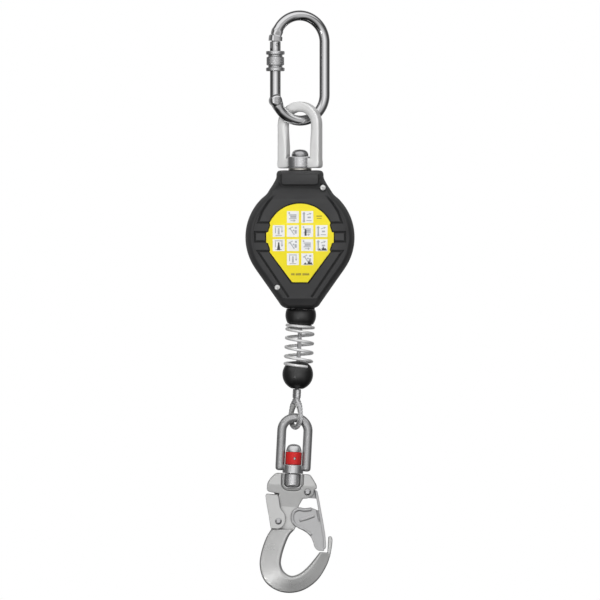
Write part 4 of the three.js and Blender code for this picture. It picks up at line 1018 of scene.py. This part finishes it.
def rope(path, radius, growth=lambda point: 0):
    """A laid wire rope: a section of round strands that turns along the path, thicker by a growth."""
    lay, strands, sides = 17.0, 6, 48
    path = evenly(path, 0.75)
    offset, strand = radius * 0.65, radius * 0.35
    total = distances(path)

    def section(i):
        turn = TAU * total[i] / lay
        size = 1 + growth(path[i]) / radius
        points = []
        for k in range(sides):
            angle = TAU * k / sides
            off = ((angle * strands / TAU + 0.5) % 1 - 0.5) * TAU / strands
            reach = offset * math.cos(off) + math.sqrt(max(0, strand ** 2 - (offset * math.sin(off)) ** 2))
            points.append((size * reach * math.cos(angle + turn), size * reach * math.sin(angle + turn)))
        return points

    return sweep(path, section, flat=False)


def lifeline_path():
    """From the drum's lay, over the lip of the outlet, and down the line."""
    lay_radius, outlet_z = 34.0, 11.0
    drum = LINE.inverted() @ Vector((0, 0, DRUM_Z))
    away = Vector((drum.x, 0, drum.z - (outlet_z + 7)))
    slope = math.atan2(away.z, away.x) - math.asin(lay_radius / away.length)
    reach = math.sqrt(away.length ** 2 - lay_radius ** 2)

    def along(d):
        return xz(d * math.cos(slope), outlet_z + 7 + d * math.sin(slope))

    return spline([
        *(along(reach * share) for share in (1, 0.72, 0.45, 0.2)), along(6),
        xz(0.35, outlet_z + 2.5), xz(0, outlet_z - 4), xz(0, -20), xz(0, FERRULE[1] - 3),
    ], 16)


wire = rope(lifeline_path(), WIRE)
keep(wire, "lifeline_rope", None, ["lifeline_wire"], "rope", LINE, 60)
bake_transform(wire)

ferrule_ends = [xz(0, z) for z in (FERRULE[0], FERRULE[0] + 0.4, FERRULE[1] - 0.4, FERRULE[1])]
ferrule_path = ferrule_ends[:2] + straight(ferrule_ends[1], ferrule_ends[2], 40) + ferrule_ends[2:]


def ferrule_section(i):
    """Pressed in three bands, and rounded at its ends."""
    share = (ferrule_path[i].z - FERRULE[0]) / (FERRULE[1] - FERRULE[0])
    loss = 0.14 * max(0.0, -math.cos(TAU * 3 * share)) ** 2 + (0.5 if i in (0, len(ferrule_path) - 1) else 0)
    return ellipse(4.8 - loss, 3.4 - loss, 2.2, 48)


keep(sweep(ferrule_path, ferrule_section), "ferrule_swaged", "lifeline", ["ferrule"], "turned",
     LOOP, 60)

high = FERRULE[0] + 3
loop_path = spline([
    xz(-2.0, high), xz(-2.2, FERRULE[0] - 0.6),
    xz(-LOOP_HALF * 0.72, LOOP_CENTRE + LOOP_HALF * 0.95),
    *arc(0, LOOP_CENTRE, LOOP_HALF, 166, 374, 12),
    xz(LOOP_HALF * 0.72, LOOP_CENTRE + LOOP_HALF * 0.95),
    xz(2.2, FERRULE[0] - 0.6), xz(2.0, high),
], 8)


def leg_growth(point):
    """The eye's legs are served thicker than the wire; the part in the thimble's throat is not."""
    return 0.4 * within((point.z - LOOP_CENTRE - 5) / 6)


keep(rope(loop_path, WIRE - 0.05, leg_growth), "wire_eye_rope", "lifeline", ["wire_eye"], "rope",
     LOOP, 60)


def thimble():
    """A pressed channel, hollow towards the wire that it carries."""
    radius = LOOP_HALF - 0.35
    path = evenly(spline([
        xz(-4.6, LOOP_CENTRE + 12.2), xz(-8.2, LOOP_CENTRE + 6.2), *arc(0, LOOP_CENTRE, radius, 166, 374, 16),
        xz(8.2, LOOP_CENTRE + 6.2), xz(4.6, LOOP_CENTRE + 12.2),
    ], 6), 0.6)
    half_angle = math.radians(74)
    angles = [half_angle * (2 * k / 14 - 1) for k in range(15)]
    probe, after = path[len(path) // 2:][:2]
    inward = 1 if (after - probe).cross(Y_AXIS).dot(xz(0, LOOP_CENTRE) - probe) > 0 else -1

    def section(i):
        inner = 2.02 + leg_growth(path[i])
        sides = [(inner, a) for a in angles] + [(inner + 0.6, a) for a in reversed(angles)]
        return [(inward * r * math.cos(a), r * math.sin(a)) for r, a in sides]

    return sweep(path, section)


keep(thimble(), "thimble_pressed", "lifeline", ["thimble"], "zinc", LOOP, 40)

# ---------------------------------------------------------------- hook bail, stud and fall indicator

bail_foot = -143.4
bail_path = (
    straight(xz(-BAIL_HALF, bail_foot + 1.0), xz(-BAIL_HALF, BAIL_ARCH), 30)
    + arc(0, BAIL_ARCH, BAIL_HALF, 180, 0, 48)
    + straight(xz(BAIL_HALF, BAIL_ARCH), xz(BAIL_HALF, bail_foot + 1.0), 30)
)
bail_ends = [(0.0, 0.35), (0.25, 0.6), (0.9, 0.84), (1.9, 0.96)]
bail_rings = len(bail_path) + 2 * len(bail_ends)
bail_line = [xz(-BAIL_HALF, bail_foot - 1.6 + z) for z, _ in bail_ends] + bail_path
bail_line += [xz(BAIL_HALF, bail_foot - 1.6 + z) for z, _ in reversed(bail_ends)]


def bail_section(i):
    """Round, with softened ends."""
    end = min(i, bail_rings - 1 - i)
    size = BAIL_BAR * (bail_ends[end][1] if end < len(bail_ends) else 1)
    return ellipse(size, size, 2, 44)


bail = sweep(bail_line, bail_section)
collar = turned([(0, COLLAR[0]), (9.5, COLLAR[0], 0.9), (9.5, COLLAR[1], 1.0), (0, COLLAR[1])], 88)
join(bail, collar)
cut(bail, cylinder(4.8, COLLAR[0] - 1, COLLAR[1] + 1, 48))
keep(bail, "hook_bail_bent", "hook_bail", ["hook_bail"], "bail", LINE)
collar_face = turned_ring([
    (8.4, COLLAR[0] - 0.02), (9.7, COLLAR[0] - 0.02, 0.8), (9.7, COLLAR[1] + 0.02, 0.9),
    (8.4, COLLAR[1] + 0.02),
], 96)
keep(collar_face, "bail_collar_turned", "hook_bail", [], "turned", LINE)

band = (COLLAR[1] + 0.3, COLLAR[1] + 12)
stud = turned([
    (0, -160.6), (5.4, -160.6, 2.0), (7.9, -158.6, 2.0), (7.9, -147.6, 0.7), (4.5, -147.6),
    (4.5, band[1] + 0.3), (7.3, band[1] + 0.3, 0.2), (7.2, -125.8, 1.6), (5.9, -121.8, 1.6),
    (3.4, -120.3, 1.2), (0, -119.9),
], 80)
keep(stud, "hook_stud_domed", "hook", ["hook_stud"], "turned", LINE)
indicator = turned_ring([(4.8, band[0]), (7.7, band[0], 0.35), (7.7, band[1], 0.35), (4.8, band[1])], 88)
pin_x, pin_z = 1.2, (band[0] + band[1]) / 2
cut(indicator, disc(pin_x, pin_z, 1.3, -9, 0))
keep(indicator, "fall_indicator_sleeve", "hook", ["fall_indicator"], "indicator", LINE)
pin = turned([(0, -8.0), (1.0, -7.8, 0.3), (1.0, -4.7), (0, -4.7)], 32, "Y")
keep(moved(pin, pin_x, pin_z), "indicator_pin_round", "hook", ["indicator_pin"], "steel", LINE)

# ---------------------------------------------------------------- hook

outer_edge = spline([xz(*p) for p in (
    (-17.0, -199.5), (-21.4, -207.6), (-25.6, -222), (-26.4, -234.5), (-21.8, -247.6), (-12.6, -255.3),
    (-0.5, -258.5), (14.0, -255.8), (27.6, -245.6), (36.4, -230.0), (39.2, -219.4))], 8)
inner_edge = spline([xz(*p) for p in (
    (4.0, -199.5), (0.2, -204.4), (-3.4, -213.5), (-6.2, -224.8), (-6.6, -232.0), (-3.6, -238.8), (3.2, -242.6),
    (10.4, -240.4), (17.6, -234.2), (24.4, -225.4), (28.6, -219.4))], 8)


def hook_bow():
    """Thick near the inner edge, falling away to the outer edge like a cone."""
    half = [(0, 3.2), (0.015, 4.3), (0.05, 5.0), (0.30, 6.0), (0.55, 7.0), (0.80, 7.9), (0.86, HEAD),
            (0.91, 7.8), (0.96, 7.0), (0.99, 5.8), (1, 4.2)]
    section = [(share, -y) for share, y in half] + half[::-1]
    edges = zip(resample(outer_edge, 72), resample(inner_edge, 72))
    return skin([[outer.lerp(inner, share) + xz(0, 0, y) for share, y in section] for outer, inner in edges])


def resample(line, count):
    """A spline's points at even steps of its own parameter."""
    last = len(line) - 1
    points = []
    for i in range(count + 1):
        at = last * i / count
        k = min(int(at), last - 1)
        points.append(line[k].lerp(line[k + 1], at - k))
    return points


head = prism(rounded([
    (-15.6, -147.6, 2), (16.2, -147.6, 2), (19.8, -152.4, 1), (23.0, -157.6, 2), (23.0, -160.6, 1),
    (20.6, -161.4, 1), (20.4, -166.0, 3), (16.0, -169.8, 3), (8.6, -170.4, 2), (5.0, -167, 3),
    (-13.6, -166.5, 1), (-21.6, -165.3, 1), (-23.3, -163.6, 1), (-23.4, -157.4, 3), (-20.1, -152.2, 2),
]), -HEAD, HEAD, 1.1)
neck = prism(rounded([
    (-15.6, -163), (18, -163), (14, -169.0, 2), (11.2, -169.6, 1), (6.4, -178.4, 3), (7.6, -192, 4),
    (4.0, -199.9, 1), (0.8, -203.4), (-17.4, -203.4), (-15.2, -196, 2), (-16.4, -170),
]), -NECK, NECK, 0.7)
lip = prism(rounded([
    (35.9, -224), (38.6, -222.6), (39.9, -213, 4), (40.1, -206.6, 1.5), (39.0, -204.1, 1), (36.0, -204.1, 1.5),
]), -5.2, 5.2, 0.8)


def shoulder(side):
    """The slope from the head's face down to the neck's."""
    rings = []
    for z, left, right in ((-156, -11, 10.0), (SLOPE_TOP, -11, 10.0), (-165.4, -11, 10.0), (-170, -13, 10.6),
                           (-178, -11, 6.6), (SLOPE_FOOT, -11, 6.6)):
        lift = side * (HEAD - (HEAD - NECK) * max(0, SLOPE_TOP - z) / (SLOPE_TOP - SLOPE_FOOT))
        rings.append([xz(left, z), xz(right, z), xz(right, z, lift), xz(left, z, lift)])
    return skin(rings)


def planed(side):
    """A cutter that slopes the head's lower part like the shoulder."""
    corners = ((HEAD, SLOPE_TOP), (NECK, SLOPE_FOOT), (12, SLOPE_FOOT), (12, SLOPE_TOP))
    return wedge([(side * y, z) for y, z in corners], -30, 30)


cut(head, planed(-1), planed(1))
hook_body = join(head, neck, shoulder(-1), shoulder(1), hook_bow(), lip)
pocket = rounded([(-10.4, -146), (-10.4, -163.6, 10.4), (10.4, -163.6, 10.4), (10.4, -146)], 12)
for side in (-1, 1):
    cut(hook_body, prism(pocket, *span(side, 1.3, 12)))
cut(
    hook_body,
    turned([(0, -160.9), (5.9, -160.9, 2.0), (8.2, -158.8, 2.0), (8.2, -145), (0, -145)], 64),
    disc(*GATE_PIVOT, 7.0, -3.3, 3.3),
    block(GATE_PIVOT[0], 30, -3.3, 3.3, -172, -158.2),
    block(GATE_PIVOT[0] - 6.6, 30, -3.3, 3.3, -172, GATE_PIVOT[1]),
    block(-20, LEVER_PIVOT[0] + 5, -2.1, 2.1, LEVER_PIVOT[1] - 5, LEVER_PIVOT[1] + 5),
    disc(*GATE_PIVOT, RIVET_BORE, -12, 12),
    disc(*LEVER_PIVOT, RIVET_BORE, -12, 12),
)
forged(hook_body, 0.35, 4)
keep(hook_body, "hook_body_forged", "hook", ["hook_body"], "hook_zinc", LINE, 80)


def hook_gate():
    """Two cheeks and a back folded from one sheet, with a pressed rim and crease."""
    half = 6.2
    strip = prism(rounded([
        (21.6, -161.8, 0.6), (23.7, -162.6, 1), (25.2, -168.0), (28.0, -180.0), (31.2, -193.8), (33.0, -202.1),
        (34.4, -212.3, 1), (34.2, -215.4, 0.8), (32.0, -215.4), (31.4, -206.0), (28.8, -194.0), (25.6, -180.4),
        (22.8, -168.6),
    ]), -half, half, 0.5)
    outline = rounded([
        (26.0, -181.0), (18.5, -178.3, 2), (12.1, -179.5, 1), (6.6, -178.8, 2), (1.6, -182.0, 3),
        (0.2, -187.1, 4), (1.8, -193.6, 3), (7.0, -197.6, 3), (14.0, -200.4, 4), (19.4, -204.6, 4),
        (22.2, -210.0, 4), (23.4, -214.4, 2), (26.4, -217.6, 2), (32.4, -218.0, 1), (33.6, -213.4),
        (32.4, -204.0), (30.0, -194.0),
    ])
    rim = [(19.0, -179.6), (12.4, -180.7), (7.2, -180.2), (3.0, -182.8), (1.7, -187.2), (3.1, -192.6),
           (7.6, -196.2), (14.4, -199.0), (20.2, -203.4)]
    crease = [(8.6, -190.6), (14.2, -188.8), (21.8, -185.6)]
    parts = [strip]
    for side in (-1, 1):
        parts.append(prism(outline, *span(side, 4.6, half - 0.4), 0.35))
        for line, radius, lift in ((rim, 1.5, 5.55), (crease, 1.3, 5.5)):
            ridge = spline([xz(x, z, side * lift) for x, z in line], 8)
            parts.append(sweep(ridge, ellipse(radius, 0.85, 2, 16)))
    x, z = GATE_PIVOT
    parts.append(disc(x, z, 5.6, -3.0, -0.2, 0.2))
    parts.append(prism([(x, z + 5.5), (22.4, -162.4), (23.6, -169.6), (x, z - 5.5)], -3.0, -0.2))
    gate = join(*parts)
    slit = [(23.6, -180.6), (24.6, -180.2), (27.2, -190.6), (26.2, -190.9)]
    cut(gate, disc(x, z, RIVET_BORE, -12, 12), prism(slit, -12, -5), prism(slit, 5, 12))
    return forged(gate, 0.32, 3)


keep(hook_gate(), "hook_gate_pressed", "hook_gate", ["hook_gate"], "bail", LINE, 80)


def lock_lever():
    """Two cheeks and a back folded from one sheet, over the hook's spine."""
    half = 8.1
    strip = prism(rounded([
        (-22.6, -167.7, 0.6), (-24.4, -168.4, 1), (-22.8, -177.0), (-20.4, -187.0), (-18.6, -195.6),
        (-17.8, -199.6, 0.8), (-15.9, -199.0, 0.6), (-16.6, -195.0), (-18.4, -187.0), (-20.8, -177.0),
    ]), -half, half, 0.5)
    outline = rounded([
        (-23.4, -167.5), (-12.4, -167.9, 2), (-9.8, -180.4, 3), (-4.8, -185.6, 3), (-4.6, -194.4, 4),
        (-9.0, -199.4, 3), (-17.0, -199.4), (-18.0, -194.0), (-20.2, -184.0),
    ])
    join(strip, *[prism(outline, *span(side, 6.5, half), 0.4) for side in (-1, 1)])
    return forged(cut(strip, disc(*LEVER_PIVOT, RIVET_BORE, -12, 12)), 0.32, 3)


keep(lock_lever(), "lock_lever_pressed", "lock_lever", ["lock_lever"], "hook_zinc", LINE, 80)
for name, pivot, half in (("gate_rivet", GATE_PIVOT, 8.3), ("lever_rivet", LEVER_PIVOT, 8.4)):
    keep(rivet(*pivot, 2.0, half, 1.3, 3.0), name + "_domed", "hook", [name], "steel", LINE)

# ---------------------------------------------------------------- stage

bpy.ops.mesh.primitive_circle_add(vertices=96, radius=14, fill_type="NGON", location=(0, 0, -3.2))
floor = bpy.context.object
floor.name = "floor"
floor_finish = bpy.data.materials.new("floor")
floor_finish.use_nodes = True
tree = Nodes(floor_finish.node_tree)
sheen = tree.new("ShaderNodeBsdfDiffuse", {"Color": (0.6, 0.6, 0.6, 1)})
glow = tree.new("ShaderNodeEmission", {"Color": (1, 1, 1, 1), "Strength": 0.96})
tree.new("ShaderNodeOutputMaterial", {
    "Surface": tree.new("ShaderNodeAddShader", {0: sheen.outputs[0], 1: glow.outputs[0]}).outputs[0]})
floor.data.materials.append(floor_finish)
floor.visible_glossy = False
floor.visible_diffuse = False
floor.visible_shadow = False
